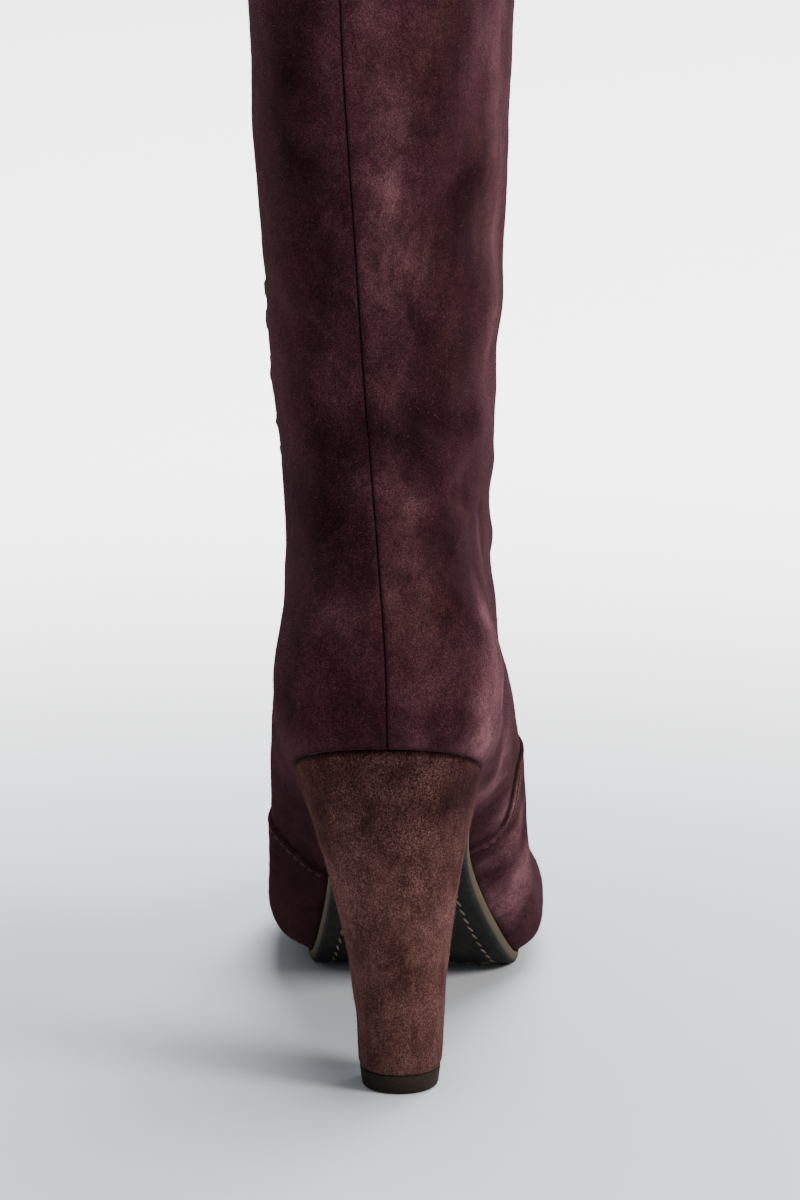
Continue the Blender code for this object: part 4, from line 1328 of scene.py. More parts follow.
        # painted shade on the slot's turned-in edges and in the closed seam above the zip
        painted_shade[:, first + 1 : first + 5] = np.where((on_zip | above)[:, None], 0.8, 0.0)
        turned = ((0.45, 0.3), (0.6, 1.0), (0.4, 1.7), (-0.5, 2.05))  # rise and depth over the collar's top
        collar = [full[-1] + UP * rise - out[-1] * depth for rise, depth in turned]
        collar += [full[row] - out[row] * (WALL + 0.2) for row in (-4, -8, -1 - self.facing_rows)]
        feather = full[0] - out[0] * LEVEL * self.turned_under
        full = np.concatenate((feather[None], full, np.array(collar)))
        wear_and_highlight = np.concatenate((wear_and_highlight[:1], wear_and_highlight, np.repeat(wear_and_highlight[-1:], len(collar), axis=0)))
        # the collar's turned rows keep half the top row's painted shade
        painted_shade = np.concatenate((painted_shade[:1], painted_shade, np.repeat(painted_shade[-1:] * 0.5, len(collar), axis=0)))
        full[:, -1] = full[:, 0]
        skip = np.zeros((full.shape[0] - 1, full.shape[1] - 1), bool)
        skip[1 : rows, first + 2] = on_zip[:-1] & on_zip[1:]
        bm = grid_mesh(full, {"wear_and_highlight": wear_and_highlight, "painted_shade": painted_shade}, skip)
        self.turn_outwards(bm)
        piece = new_piece("suede_quarters_and_shaft", bm, UPPER_SUEDE, Body.BOOT)
        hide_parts("upper")

    def turn_outwards(self, bm: bmesh.types.BMesh) -> None:
        """Turns the faces of a skin away from the middle of the leg and foot."""
        turn_to(bm, lambda centre: Vector((centre.x, centre.y - self.inside_y, 0.0)))

    def nap(self, points: Table, found: Survey) -> tuple[np.ndarray, np.ndarray]:
        """How much lighter and how much darker the patches leave the suede, each 0 or more: brushed nap,
        painted highlights where light falls, and painted shade on the inner side.
        """
        cloud = ramp(soft_noise(points, 24.0, 21), -0.9, 1.1)
        light, dark = 0.1 * cloud, np.zeros(cloud.shape)
        for patch in PATCHES:
            across = ((found.place / found.length - patch.turn / 360 + 0.5) % 1.0 - 0.5) * found.length
            amount = bump(across, patch.width) * bump(points[..., 2] - patch.z, patch.height)
            amount *= 0.45 + 0.55 * cloud
            light += max(patch.light, 0.0) * amount
            dark += max(-patch.light, 0.0) * amount
        return light, dark

    def wear_and_painted_light(self, found: Survey, table: Table, vamp_line: np.ndarray) -> tuple[np.ndarray, np.ndarray]:
        """Where the skin is lighter, from wear and painted highlights, and where painted shade darkens it.

        Args:
            found: what the form says at each point.
            table: the skin's points.
            vamp_line: points of the vamp's edge.

        Returns:
            Lightness from wear and painted highlights, 0 to 2.5, and painted shade, 0 to 1.
        """
        place, length, v = found.place, found.length, found.v
        back = np.minimum(place, length - place)
        outer = place > length / 2
        wear_and_highlight, painted_shade = self.nap(table, found)
        # lighter beside the back seam, most of all on the outer side
        wear_and_highlight += 0.2 * np.where(outer, bump(back - 8.0, 9.0), 0.3 * bump(back - 6.0, 7.0))
        # painted shade in the back seam's groove and along the foot of the upper, by the sole
        painted_shade += 0.75 * bump(back, 0.33) + 0.55 * (1 - ramp(v, 0.0, 0.35))
        # painted shade along the placket's rear lip, next to the zip's slot
        edge = found.zip - place - self.slot / 2
        painted_shade += 0.55 * ramp(edge, -0.5, 0.5) * (1 - ramp(edge, 3.5, 6.0)) * ramp(v, 4.7, 5.2)
        # painted shade along the vamp's edge
        tree = search_tree(vamp_line)
        low = v[:, 0] <= VAMP_TOP + 0.5
        near = np.full(place.shape, 99.0)
        near[low] = [[tree.find(Vector(point))[2] for point in row] for row in table[low]]
        return np.clip(wear_and_highlight, 0, WEAR_AND_HIGHLIGHT_MOST), np.clip(painted_shade + 0.95 * bump(near, 1.0), 0, 1)

    def make_vamp(self) -> np.ndarray:
        """The vamp: suede laid over the forefoot, its folded edge standing on the quarters.

        Returns:
            Points of its edge, from the sole on the inner side over the instep to the outer side.
        """
        steps = np.array(LIP_STEPS)

        def places(turn: Turn) -> np.ndarray:
            """Columns across the vamp, close together at its two edges."""
            low, high = self.vamp_edges(turn.v, turn.length)
            fit = min(1.0, (high - low) / 2 / (steps[-1] * self.shoulder))
            inside = np.linspace(low + steps[-1] * fit, high - steps[-1] * fit, self.vamp_columns + 1)[1:-1]
            return np.concatenate((low + steps * fit, inside, high - steps[::-1] * fit))

        share = np.linspace(0.0, 1.0, self.vamp_rows)
        vs = VAMP_TOP * (1 - (1 - share) ** self.rows_to_edge)
        found = self.survey(vs, places)
        points = found.points
        normal = self.form_normals(np.append(vs[:-1], VAMP_TOP - 1e-3), found.place)
        edge_line = np.concatenate((points[:, 0], points[::-1, -1]))
        tree = search_tree(edge_line)
        off = np.array([[tree.find(Vector(point))[2] for point in row] for row in points])
        lift = self.relief(found)
        lift *= self.settling(found)
        thick = self.vamp_thick * (0.55 + 0.45 * ramp(found.v, 0.0, 1.0))
        roll = 1 - np.exp(-off / 0.35)
        # the folded edge is round, a little proud, and drawn down along its stitches
        lift += thick * roll + 0.25 * bump(off - 0.9, 0.9) - 0.22 * bump(off - 1.9, 0.45) - 0.25 * (1 - roll)
        table = points + normal * lift[..., None]
        wear_and_highlight, painted_shade = self.nap(points, found)
        high_up = ramp(points[..., 2], 56.0, 66.0)
        # painted highlight along the folded edge, strongest low on the outer side
        wear_and_highlight += np.where(points[..., 0] < 0, 1.0 - 0.75 * high_up, 0.35) * bump(off - 0.5, 0.8)
        tip = 1 - ramp(found.v, 1.0, 3.5)
        wear_and_highlight += 0.3 * tip * bump(found.place / found.length - 0.5, 0.07)
        # painted shade by the sole, in the dip inside the folded edge, and at the edge itself high up
        painted_shade += 0.4 * (1 - ramp(found.v, 0.0, 0.3)) + 0.5 * bump(off - 1.9, 0.4)
        painted_shade += 0.8 * high_up * bump(off, 0.45)
        under = table[0] - normal[0] * LEVEL * self.turned_under
        full = np.concatenate((under[None], table))
        values = {
            "wear_and_highlight": np.clip(np.concatenate((wear_and_highlight[:1], wear_and_highlight)), 0, WEAR_AND_HIGHLIGHT_MOST),
            "painted_shade": np.concatenate((painted_shade[:1], painted_shade)),
        }
        bm = grid_mesh(full, values)
        self.turn_outwards(bm)
        new_piece("suede_vamp", bm, UPPER_SUEDE, Body.BOOT)
        loose = loose_fibres(table, normal, (found.v > 0.3) & (off > 3.0), self.vamp_fibres, 32)
        new_piece("loose_vamp_fibres", loose, LOOSE_NAP, Body.BOOT)
        surface = search_tree(points.reshape(-1, 3))
        edge_normal = np.concatenate((normal[:, 0], normal[::-1, -1]))
        marks = along_path(edge_line, self.sampling)
        edge, upward = resample(edge_line, edge_line, marks), resample(edge_line, edge_normal, marks)
        ahead = np.gradient(edge, axis=0)
        inward = np.cross(upward, ahead)
        inward /= np.linalg.norm(inward, axis=1)[:, None]
        if (inward * (points.reshape(-1, 3).mean(axis=0) - edge)).sum() < 0:
            inward = -inward
        sewn = edge + inward * self.sewn_in
        heights = lift.reshape(-1)
        raised = np.array([heights[surface.find(Vector(point))[1]] for point in sewn])
        threads = bmesh.new()
        path = sewn + upward * raised[:, None]
        add_beads(threads, path, upward, self.stitch, (1.05, 0.24, 0.22), lift=0.05)
        new_piece("vamp_stitching", threads, THREAD, Body.BOOT)
        return edge_line

    def make_lining(self) -> None:
        """The lining: a plain skin inside the wall, from the insole to below the turned collar."""
        vs = np.linspace(0.1, self.last.topline - (self.facing_rows - 1) / self.rows_per_ring, 150)
        found = self.survey(vs, lambda turn: np.linspace(0, turn.length, 121))
        normal = normals_of(found.points, found.middle)
        lift = self.relief(found) - WALL + 0.1
        table = found.points + normal * lift[..., None]
        table[:, -1] = table[:, 0]
        bm = grid_mesh(table)
        turn_to(bm, lambda centre: Vector((-centre.x, self.inside_y - centre.y, 0.0)))
        new_piece("leg_lining", bm, LINING, Body.BOOT)

    def make_threads(self, table: Table, normal: np.ndarray) -> None:
        """Stitches round the collar and along both edges of the placket."""
        collar = bmesh.new()
        row = -1 - round(self.collar_sewn_in / (self.top_step / self.rows_per_ring))
        add_beads(collar, table[row], normal[row], self.stitch, STITCH, lift=0.05)
        new_piece("collar_stitching", collar, THREAD, Body.BOOT)
        placket = bmesh.new()
        first = self.slot_column()
        low, high = (int(v * self.rows_per_ring) for v in (self.zip_first, self.zip_last))
        rows = slice(low - 3, high + 4)
        for column in (first - 4, first + 5):
            add_beads(placket, table[rows, column], normal[rows, column], self.stitch, STITCH, lift=0.08)
        across = (rows.start, slice(first - 4, first + 6))
        add_beads(placket, table[across], normal[across], 2.4, (1.0, 0.26, 0.24))
        new_piece("placket_stitching", placket, THREAD, Body.BOOT)


# --- zip -----------------------------------------------------------------------------------------
@dataclass
class Zip:
    """The zip up the inner side: tape, coil, bottom stop, slider and pull tab."""

    last: Last
    upper: Upper
    first: float = 5.1
    end: float = 21.97
    tape_depth: float = 1.0
    tape_thick: float = 0.5
    pitch: float = 1.5
    softening: float = 0.28  # radius on the metal's edges
    stop_softening: float = 0.4
    stop_size: tuple[float, float, float] = (5.0, 2.2, 1.3)
    loop_size: tuple[float, float, float] = (0.5, 1.15, 0.55)  # half the size of one of the coil's loops

    def build(self) -> None:
        """Makes the zip's pieces from its middle line."""
        vs = np.linspace(self.first, self.end, 216)
        half = self.upper.slot / 2
        found = self.upper.survey(vs, lambda turn: turn.zip_place + np.linspace(-half - 0.6, half + 0.6, 11))
        lift = self.upper.relief(found)
        normal = self.upper.form_normals(vs, found.place)
        face = found.points + normal * (lift - self.tape_depth)[..., None]
        self.make_tape(face, normal, found)
        self.make_coil(face, normal)
        self.make_metal(face, normal)

    def make_tape(self, face: Table, normal: np.ndarray, found: Survey) -> None:
        """Both tapes as one woven strip, with its back."""
        across = found.place - found.zip
        along = np.repeat(distances(face[:, 5])[:, None], face.shape[1], axis=1)
        back = face - normal * self.tape_thick
        table = np.concatenate((face, back[:, ::-1], face[:, :1]), axis=1)
        values = {
            "across": np.concatenate((across, across[:, ::-1], across[:, :1]), axis=1),
            "along": np.concatenate((along, along, along[:, :1]), axis=1),
        }
        bm = grid_mesh(table, values)
        fill_ends(bm)
        piece = new_piece("zip_tape", face_out(bm), TAPE, Body.BOOT)
        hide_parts("zip_chain")

    def make_coil(self, face: Table, normal: np.ndarray) -> None:
        """The closed coil: loops from both sides that meet in the middle, half a pitch apart."""
        bm = bmesh.new()
        for sign, shift in ((1, 0.0), (-1, self.pitch / 2)):
            line = face[:, 5] + (face[:, 7] - face[:, 3]) * 0.13 * sign
            ahead = np.gradient(line, axis=0)
            ahead /= np.linalg.norm(ahead, axis=1)[:, None]
            path = line + ahead * shift
            add_beads(bm, path, normal[:, 5], self.pitch, self.loop_size, lift=0.25, slant=14 * sign)
        new_piece("zip_coil", bm, COIL, Body.BOOT)

    def soften(self, bm: bmesh.types.BMesh, edges: list[bmesh.types.BMEdge], radius: float) -> None:
        """Rounds some edges of a metal part."""
        bmesh.ops.bevel(
            bm,
            geom=edges,
            offset=radius,
            offset_type="OFFSET",
            affect="EDGES",
            segments=3,
            profile=0.5,
            material=-1,
            clamp_overlap=True,
        )

    def make_metal(self, face: Table, normal: np.ndarray) -> None:
        """The bottom stop, and the slider and pull tab as the solids are, with softened edges."""
        stop = bmesh.new()
        up = Vector(face[4, 5] - face[0, 5]).normalized()
        out = Vector(normal[2, 5])
        side = up.cross(out).normalized()
        turn = Matrix((side, up, side.cross(up))).transposed().to_4x4()
        place = Matrix.Translation(Vector(face[2, 5]) + out * 0.35) @ turn
        bmesh.ops.create_cube(stop, size=1.0, matrix=place @ Matrix.Diagonal((*self.stop_size, 1.0)))
        self.soften(stop, list(stop.edges), self.stop_softening)
        new_piece("zip_bottom_stop", stop, NICKEL, Body.BOOT)
        for node, name, body in (
            ("zip_slider", "zip_slider_body", Body.BOOT),
            ("zip_pull", "zip_pull_tab", Body.PULL),
        ):
            bm = bmesh.new()
            bm.from_mesh(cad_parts[node].data)
            bmesh.ops.scale(bm, vec=Vector((1 / MM,) * 3), verts=bm.verts)
            bmesh.ops.remove_doubles(bm, verts=bm.verts, dist=0.001)
            bmesh.ops.dissolve_limit(
                bm, angle_limit=math.radians(1.0), verts=bm.verts, edges=bm.edges, delimit=set()
            )
            sharp = [edge for edge in bm.edges if edge.is_manifold and edge.calc_face_angle() > 0.4]
            self.soften(bm, sharp, self.softening)
            piece = new_piece(name, bm, NICKEL, body)
            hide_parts(node)


# --- sole and insole -----------------------------------------------------------------------------
@dataclass
class Sole:
    """The thin leather sole with its dyed edge and sewn channel, and the sock inside the boot."""

    last: Last
    front_gap: float = GAP
    channel: float = 5.5  # from the feather line to the stitches
    stitch: float = 5.2
    stitch_size: tuple[float, float, float] = (2.4, 0.4, 0.42)  # half its length, width and height
    stitch_slant: float = 17.0
    lean: float = 1.4  # how far its rear end follows the heel back, from top to bottom
    tucked: float = 0.35  # and how far its top already reaches over the breast
    edge_band: float = 0.7  # insets, and share of the thickness, that count as cut edge
    cross_row: float = -113.0  # Y of the row of stitches across the ball
    cross_size: tuple[float, float, float] = (2.0, 0.4, 0.3)
    centre_from_toe: float = 24.0
    sock_inset: float = 2.9
    sock_rim: float = 9.0  # inset at which the sock starts to dish
    board: float = 2.4
    # inset from the feather line, share of the thickness below the top, and depth of the channel there
    profile: tuple[tuple[float, float, float], ...] = (
        (9.0, 0.0, 0.0),
        (3.0, 0.0, 0.0),
        (0.2, 0.0, 0.0),
        (-0.42, 0.0, 0.0),
        (-0.6, 0.06, 0.0),
        (-0.62, 0.2, 0.0),
        (-0.5, 0.4, 0.0),
        (-0.28, 0.6, 0.0),
        (0.1, 0.8, 0.0),
        (0.45, 0.93, 0.0),
        (0.95, 1.0, 0.0),
        (2.2, 1.0, 0.0),
        (3.5, 1.0, 0.0),
        (4.9, 1.0, 0.0),
        (5.2, 1.0, 0.3),
        (5.5, 1.0, 0.42),
        (5.8, 1.0, 0.3),
        (6.1, 1.0, 0.0),
        (7.5, 1.0, 0.0),
        (9.0, 1.0, 0.0),
    )

    def outline(self, rear: float | None) -> tuple[np.ndarray, np.ndarray]:
        """The feather line in plan and its normals, cut off at rear if that is given."""
        line, normal = self.last.feather()
        if rear is not None:
            keep = line[:, 1] < rear
            ends = []
            for k in (int(np.argmax(keep)), len(keep) - 1 - int(np.argmax(keep[::-1]))):
                other = k - 1 if k < len(line) / 2 else k + 1
                share = (rear - line[k, 1]) / (line[other, 1] - line[k, 1])
                ends.append((line[k] + (line[other] - line[k]) * share, normal[k] * np.array((1.0, 0.0))))
            line = np.concatenate((ends[0][0][None], line[keep], ends[1][0][None]))
            normal = np.concatenate((ends[0][1][None], normal[keep], ends[1][1][None]))
        along = distances(line)
        places = np.linspace(0.0, along[-1], 341)
        line = np.stack([np.interp(places, along, line[:, k]) for k in range(2)], axis=1)
        normal = np.stack([np.interp(places, along, normal[:, k]) for k in range(2)], axis=1)
        return line, normal / np.linalg.norm(normal, axis=1)[:, None]

    def centre(self, line: np.ndarray, rear: float) -> np.ndarray:
        """For each point of an outline, the point of the middle line that its row closes on."""
        y = np.clip((line[:, 1] + line[::-1, 1]) / 2, self.last.toe + self.centre_from_toe, rear)
        return np.stack((self.last.half_line(y), y), axis=1)

    def build(self) -> None:
        """Makes the sole, its stitches and the sock."""
        self.make_sole()
        self.make_sock()

    def make_sole(self) -> None:
        """The sole: its cut edge, its flat underside with the channel, and the waxed stitches in it."""
        rear = self.last.breast - self.front_gap
        line, normal = self.outline(rear)
        middle = self.centre(line, rear)
        columns, edges = [], []
        deepest = line - normal * self.profile[0][0]
        for share in (1.0, 0.6, 0.25):
            columns.append((deepest + (middle - deepest) * share, 0.0, 0.0))
            edges.append(0.0)
        for inset, thickness, channel in self.profile:
            columns.append((line - normal * inset, thickness, channel))
            edges.append(float(abs(inset) < self.edge_band and 0.0 < thickness < self.edge_band))
        for share in (0.2, 0.45, 0.75, 1.0):
            columns.append((deepest + (middle - deepest) * share, 1.0, 0.0))
            edges.append(0.0)
        table = []
        for plan, thickness, channel in columns:
            y = np.minimum(plan[:, 1], rear)
            y[[0, -1]] += self.tucked + self.lean * thickness
            top, bottom = self.last.sole_top(y), self.last.sole_bottom(y)
            table.append(np.stack((plan[:, 0], y, top + (bottom - top) * thickness + channel), axis=1))
        table = np.array(table).transpose(1, 0, 2)
        edge = np.repeat(np.array(edges)[None], len(table), axis=0)
        y = table[..., 1]
        # the corner between top and edge is rubbed bare, most of all behind the ball
        corner = np.array([bump(k - 7.0, 1.6) for k in range(len(columns))])[None]
        patchy = 0.5 + 0.5 * ramp(soft_noise(table, 22.0, 4), -0.6, 1)
        worn_and_lit = corner * (0.25 + 0.75 * ramp(y, -95.0, -35.0)) * patchy
        bm = grid_mesh(table, {"edge": edge, "wear_and_highlight": np.clip(worn_and_lit, 0, 1)})
        fill_ends(bm)
        piece = new_piece("leather_sole", face_out(bm), SOLE, Body.BOOT)
        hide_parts("outsole")
        path = line - normal * self.channel
        ys = np.minimum(path[:, 1], rear)
        route = np.stack((path[:, 0], ys, self.last.sole_bottom(ys) + self.stitch_size[2]), axis=1)
        keep = (ys < rear - 1.0) & (ys > self.last.toe + 12.0)
        rise, run = np.gradient(self.last.sole_bottom(ys)), np.gradient(ys)
        slope = np.divide(rise, run, out=np.zeros_like(run), where=run != 0)
        down = np.stack((np.zeros(len(ys)), slope, -np.ones(len(ys))), axis=1)
        threads, ends = bmesh.new(), []
        for half in (route[:, 0] < middle[:, 0], route[:, 0] >= middle[:, 0]):
            chosen = keep & half
            add_beads(
                threads, route[chosen], down[chosen], self.stitch, self.stitch_size, slant=self.stitch_slant
            )
            line_y, line_x = route[chosen, 1], route[chosen, 0]
            order = np.argsort(line_y)
            ends.append(float(np.interp(self.cross_row, line_y[order], line_x[order])))
        level = float(self.last.sole_bottom(self.cross_row)) - 0.02
        across = np.linspace(min(ends) + 1.0, max(ends) - 1.0, 60)
        row = np.array([(x, self.cross_row, level) for x in across])
        add_beads(threads, row, np.tile((0.0, 0.35, -0.94), (len(row), 1)), self.stitch, self.cross_size)
        new_piece("sole_stitching", threads, SOLE_THREAD, Body.BOOT)

    def make_sock(self) -> None:
        """The sock: insole board under smooth leather, dished a little towards the middle."""
        line, normal = self.outline(None)
        middle = self.centre(line, self.last.seat_back - self.centre_from_toe)
        rim = line - normal * self.sock_rim
        inwards = (0.0, 0.3, 0.65, 1.0)
        columns = [(rim + (middle - rim) * share, 0.3) for share in inwards[::-1]]
        columns += [
            (line - normal * (self.sock_inset + 0.6), 0.3),
            (line - normal * self.sock_inset, 0.8),
            (line - normal * self.sock_inset, self.board - 0.4),
            (line - normal * (self.sock_inset + 0.5), self.board + 0.1),
            (line - normal * (self.sock_inset + 2.0), self.board + 0.1),
        ]
        columns += [(rim + (middle - rim) * share, self.board + 0.1 - 0.5 * share) for share in inwards]
        table = []
        for plan, rise in columns:
            height = self.last.sole_height(plan[:, 1]) + rise
            table.append(np.stack((plan[:, 0], plan[:, 1], height), axis=1))
        table = np.array(table).transpose(1, 0, 2)
        table[-1] = table[0]
        bm = grid_mesh(table)
        piece = new_piece("sock", face_out(bm), SOCK, Body.BOOT)
        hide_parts("insole")


# --- heel ----------------------------------------------------------------------------------------
@dataclass
class Heel:
    """The covered heel and the rubber top piece under it, both with a D-shaped outline."""

    last: Last
    overhang: float = 0.4
    crowding: float = 1.8
    tip_width: float = 24.6
    tip_depth: float = 22.0
    top_piece: float = 5.6
    concavity: float = 1.72
    front_share: float = 0.95
    round_start: float = 0.38
    tip_power: float = 2.1
    corner: float = 1.3  # radius of the cover at the breast's edges
    rubber_corner: float = 0.9  # and of the top piece there
    top_round: float = 0.9  # radius at which the cover turns in under the seat
    foot_round: float = 0.5  # and at the top piece
    levels: int = 62
    fibres: int = 2600

    def __post_init__(self) -> None:
        """Places the columns of the outline: close together at the breast's corners."""
        near = np.array((0.0, 0.0025, 0.006, 0.011, 0.018, 0.03))
        self.shares = np.concatenate((near, np.linspace(0.045, 1.0, 44)))

    def tip(self, margin: float) -> tuple[np.ndarray, np.ndarray]:
        """The D at the heel's tip.

        Args:
            margin: how far it stands inside the tip's full size.

        Returns:
            For each share from breast to back, its y and its half width.
        """
        ends = (self.last.breast, self.last.seat_back + self.overhang)
        seat = ends[0] + (ends[1] - ends[0]) * (1 - (1 - self.shares) ** self.crowding)
        share = (seat - ends[0]) / (ends[1] - ends[0])
        depth, half = self.tip_depth - 2 * margin, self.tip_width / 2 - margin
        rounding = np.clip((share - self.round_start) / (1 - self.round_start), 0, 1)
        swell = self.front_share + (1 - self.front_share) * np.clip(share / self.round_start, 0, 1)
        closing = (1 - rounding**self.tip_power) ** (1 / self.tip_power)
        return share * depth - depth / 2, half * swell * closing

    def seat(self) -> tuple[np.ndarray, np.ndarray, np.ndarray]:
        """The D at the seat: for each share from breast to back, y and X on the inner and outer side."""
        line, normal = self.last.feather()
        grown = line + normal * self.overhang
        y_low, y_high = self.last.breast, self.last.seat_back + self.overhang
        y = y_low + (y_high - y_low) * (1 - (1 - self.shares) ** self.crowding)
        half = len(grown) // 2
        outer, inner = grown[: half + 1], grown[half:]
        outer_x = np.interp(y, outer[::-1, 1], outer[::-1, 0])
        inner_x = np.interp(y, inner[:, 1], inner[:, 0])
        meet = (outer_x[-1] + inner_x[-1]) / 2
        outer_x[-1] = inner_x[-1] = meet
        return y, inner_x, outer_x

    def closed(self, y: np.ndarray, inner: np.ndarray, outer: np.ndarray, corner: float) -> np.ndarray:
        """One turn round a D with rounded breast corners, in plan."""
        inset = rounding_at(y - y[0], corner)
        inner, outer = inner - inset, outer + inset
        breast = np.linspace(inner[0], outer[0], 11)[1:-1]
        front = np.stack((breast, np.full(len(breast), y[0])), axis=1)
        there = np.stack((outer, y), axis=1)
        back = np.stack((inner, y), axis=1)[::-1]
        turn = np.concatenate((there, back[1:], front))
        return np.concatenate((turn, turn[:1]))

    def build(self) -> None:
        """Makes the cover and the top piece."""
        self.make_cover()
        self.make_top_piece()

    def make_cover(self) -> None:
        """The suede cover: a hollow taper from the seat to the tip, its top edge turned in."""
        seat_y, seat_in, seat_out = self.seat()
        tip_y, tip_half = self.tip(0.0)
        bottom = self.top_piece + GAP
        seat_z = self.last.sole_top(seat_y)
        table = []
        for share in np.linspace(0.0, 1.0, self.levels):
            spread = share**self.concavity
            y = tip_y + (seat_y - tip_y) * spread
            inner = tip_half + (seat_in - tip_half) * spread
            outer = -tip_half + (seat_out + tip_half) * spread
            ring = self.closed(y, inner, outer, self.corner)
            z = bottom + (seat_z - bottom) * share
            heights = np.concatenate((z, z[::-1][1:], np.full(9, z[0]), z[:1]))
            table.append(np.column_stack((ring, heights)))
        table = np.array(table)
        middle = table.mean(axis=1)
        normal = normals_of(table, middle)
        z = table[..., 2]
        below_top = table[-1, :, 2] - z
        lift = Unevenness(0.22, 34.0, 11).at(table) + Unevenness(0.1, 11.0, 12).at(table)
        lift = lift * ramp(below_top, 0.0, 6.0) * ramp(z, bottom, bottom + 5.0)
        lift -= rounding_at(below_top, self.top_round) + rounding_at(z - bottom, self.foot_round)
        # the cover's seam runs down the middle of the breast
        breast = normal[..., 1] < -0.8
        lift -= np.where(breast, 0.5 * bump(table[..., 0] - middle[:, None, 0], 0.9), 0.0)
        table = table + normal * lift[..., None]
        table[:, -1] = table[:, 0]
        cloud = ramp(soft_noise(table, 26.0, 17), -0.6, 1.4)
        # painted light pales the cover towards the bottom, with soft clouds and one small patch; painted
        # shade lies in a thin line under the seat and darkens it towards the top
        down = 1 - ramp(z, 30.0, 92.0)
        wear_and_highlight = 0.1 + 0.2 * cloud + 0.65 * down + 0.1 * bump(z - 66.0, 20.0) * bump(table[..., 0] - 4.0, 8.0)
        painted_shade = 0.85 * (1 - ramp(below_top, 0.0, 0.9)) + 0.42 * ramp(z, 62.0, 92.0)
        bm = grid_mesh(table, {"wear_and_highlight": np.clip(wear_and_highlight, 0, 1), "painted_shade": np.clip(painted_shade, 0, 1)})
        fill_ends(bm)
        piece = new_piece("heel_cover", face_out(bm), HEEL_SUEDE, Body.BOOT)
        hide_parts("heel")
        loose = loose_fibres(table, normal, (z > bottom + 1.0) & (below_top > 1.0), self.fibres, 33)
        new_piece("loose_heel_fibres", loose, LOOSE_NAP, Body.BOOT)

    def make_top_piece(self) -> None:
        """The top piece: hard rubber, its lower edge worn round."""
        # margin inside the tip's outline, and height
        profile = ((1.9, 0.0), (1.45, 0.0), (1.12, 0.25), (1.0, 0.7), (0.7, 3.0), (0.42, 5.2), (0.75, 5.6))
        table = []
        for margin, z in profile:
            y, half = self.tip(margin)
            ring = self.closed(y, half, -half, self.rubber_corner)
            table.append(np.column_stack((ring, np.full(len(ring), z))))
        bm = grid_mesh(np.array(table))
        fill_ends(bm)
        piece = new_piece("rubber_top_piece", face_out(bm), RUBBER, Body.BOOT)
        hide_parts("top_piece")


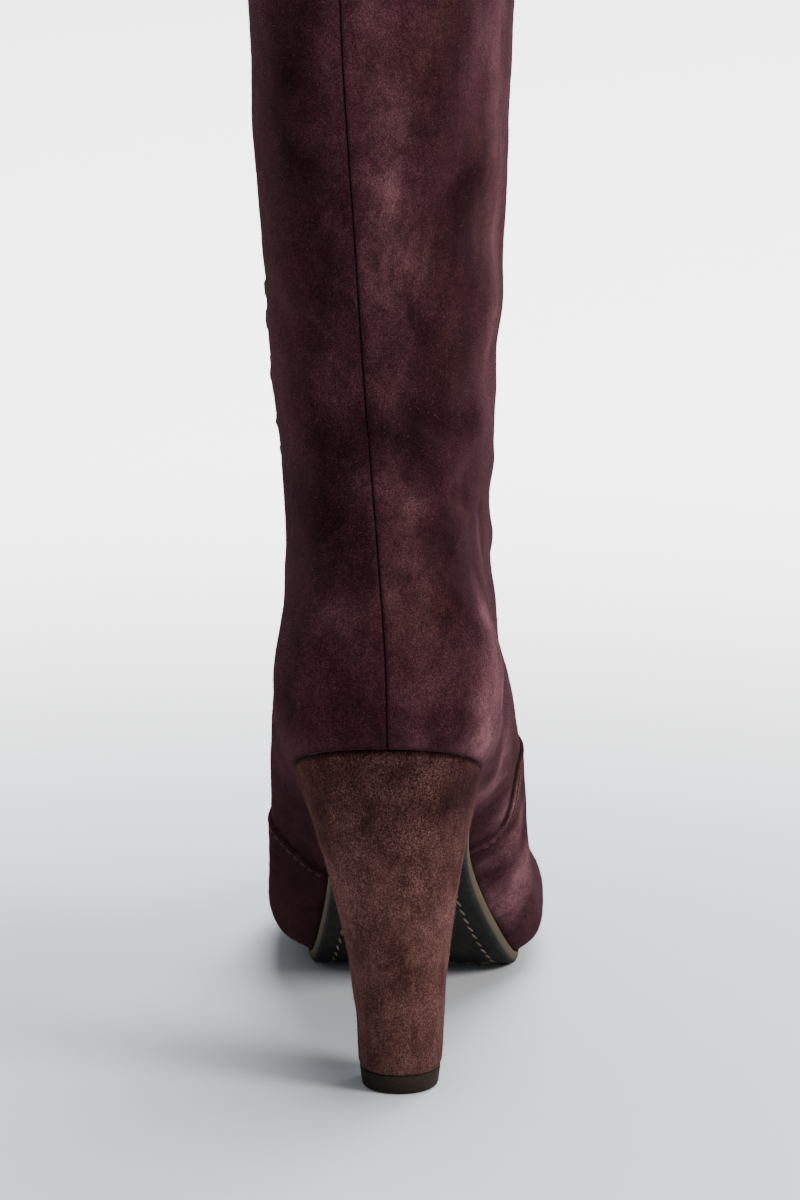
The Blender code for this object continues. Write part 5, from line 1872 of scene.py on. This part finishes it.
# --- studio --------------------------------------------------------------------------------------
@dataclass
class Studio:
    """Pale floor, soft lights and the camera behind the boot."""

    distance: float = 1.5
    height: float = 0.51
    yaw: float = 1.3
    pitch: float = 13.63
    lens: float = 160.92
    sensor: float = 36.0
    floor: float = 6.0
    below: float = 0.0002  # the floor lies this far under the boot, so that their faces don't fight
    glow: float = 3.2  # painted light: the far floor's emission, in place of the lit far paper
    ambient: float = 0.4
    # name, position, aim, size (m), power (W), colour
    lights: tuple[tuple[Any, ...], ...] = (
        ("key", (-1.9, 0.8, 1.4), (0.0, -0.05, 0.25), 0.9, 60.0, "#fff9f2"),
        ("overhead", (-0.3, -0.4, 2.3), (0.0, -0.1, 0.0), 1.6, 85.0, "#ffffff"),
        ("rim", (-1.2, -2.2, 1.3), (0.0, -0.05, 0.25), 1.2, 45.0, "#f6f4ff"),
    )

    def build(self) -> None:
        """Makes the floor, the lights, the surround and the camera."""
        self.make_floor()
        for name, position, aim, size, power, colour in self.lights:
            light = bpy.data.lights.new(name, "AREA")
            light.shape, light.size, light.energy = "DISK", size, power
            light.color = linear(colour)[:3]
            lamp = bpy.data.objects.new(name, light)
            lamp.location = position
            direction = Vector(aim) - Vector(position)
            lamp.rotation_euler = direction.to_track_quat("-Z", "Y").to_euler()
            bpy.context.scene.collection.objects.link(lamp)
        world = bpy.data.worlds.new("surround")
        world.use_nodes = True
        surround = world.node_tree.nodes["Background"]
        surround.inputs["Color"].default_value = linear("#f4f6fa")
        surround.inputs["Strength"].default_value = self.ambient
        bpy.context.scene.world = world
        self.make_camera()

    def make_floor(self) -> None:
        """White paper floor: painted grey and cool round the boot as shade, and painted pale and glowing
        further out as light.
        """
        material = bpy.data.materials.new("studio_paper")
        material.use_nodes = True
        tree = material.node_tree
        shader = tree.nodes["Principled BSDF"]
        shader.inputs["Roughness"].default_value = 0.7
        place = add_node(tree, "TexCoord", {}).outputs["Object"]
        away = add_node(tree, "VectorMath", {"operation": "LENGTH"}, {0: place})
        # painted shade near the boot and painted light far off, by distance from the middle
        far = add_node(tree, "MapRange", SOFT_STEP, {VALUE: away.outputs["Value"], LOW: 0.15, HIGH: 0.9})
        colours = {FACTOR: far, FIRST: linear("#d2d7dd"), SECOND: linear("#f6f6f4")}
        colour = add_node(tree, "Mix", COLOURS, colours)
        tree.links.new(colour.outputs[MIXED], shader.inputs["Base Color"])
        glow = add_node(tree, "Math", TIMES, {0: far, 1: self.glow})
        shader.inputs["Emission Color"].default_value = linear("#fafbff")
        tree.links.new(glow.outputs[0], shader.inputs["Emission Strength"])
        bm = bmesh.new()
        bmesh.ops.create_grid(bm, x_segments=2, y_segments=2, size=self.floor)
        mesh = bpy.data.meshes.new("floor")
        bm.to_mesh(mesh)
        bm.free()
        mesh.materials.append(material)
        floor = bpy.data.objects.new("floor", mesh)
        floor.location.z = -self.below
        bpy.context.scene.collection.objects.link(floor)

    def make_camera(self) -> None:
        """The camera: behind the boot, a little to its outer side, looking slightly down."""
        data = bpy.data.cameras.new("camera")
        data.lens, data.sensor_width = self.lens, self.sensor
        data.clip_end = 30.0
        yaw, pitch = math.radians(self.yaw), math.radians(self.pitch)
        camera = bpy.data.objects.new("camera", data)
        camera.location = (-self.distance * math.sin(yaw), self.distance * math.cos(yaw), self.height)
        aim = Vector((math.sin(yaw) * math.cos(pitch), -math.cos(yaw) * math.cos(pitch), -math.sin(pitch)))
        camera.rotation_euler = aim.to_track_quat("-Z", "Y").to_euler()
        bpy.context.scene.collection.objects.link(camera)
        bpy.context.scene.camera = camera


def main() -> None:
    """Builds the boot's sub-assemblies and the studio, in order."""
    logging.basicConfig(level=logging.INFO, format="%(name)s: %(message)s")
    last = Last()
    upper = Upper(last)
    for assembly in (upper, Zip(last, upper), Sole(last), Heel(last), Studio()):
        assembly.build()


if __name__ == "__main__":
    main()
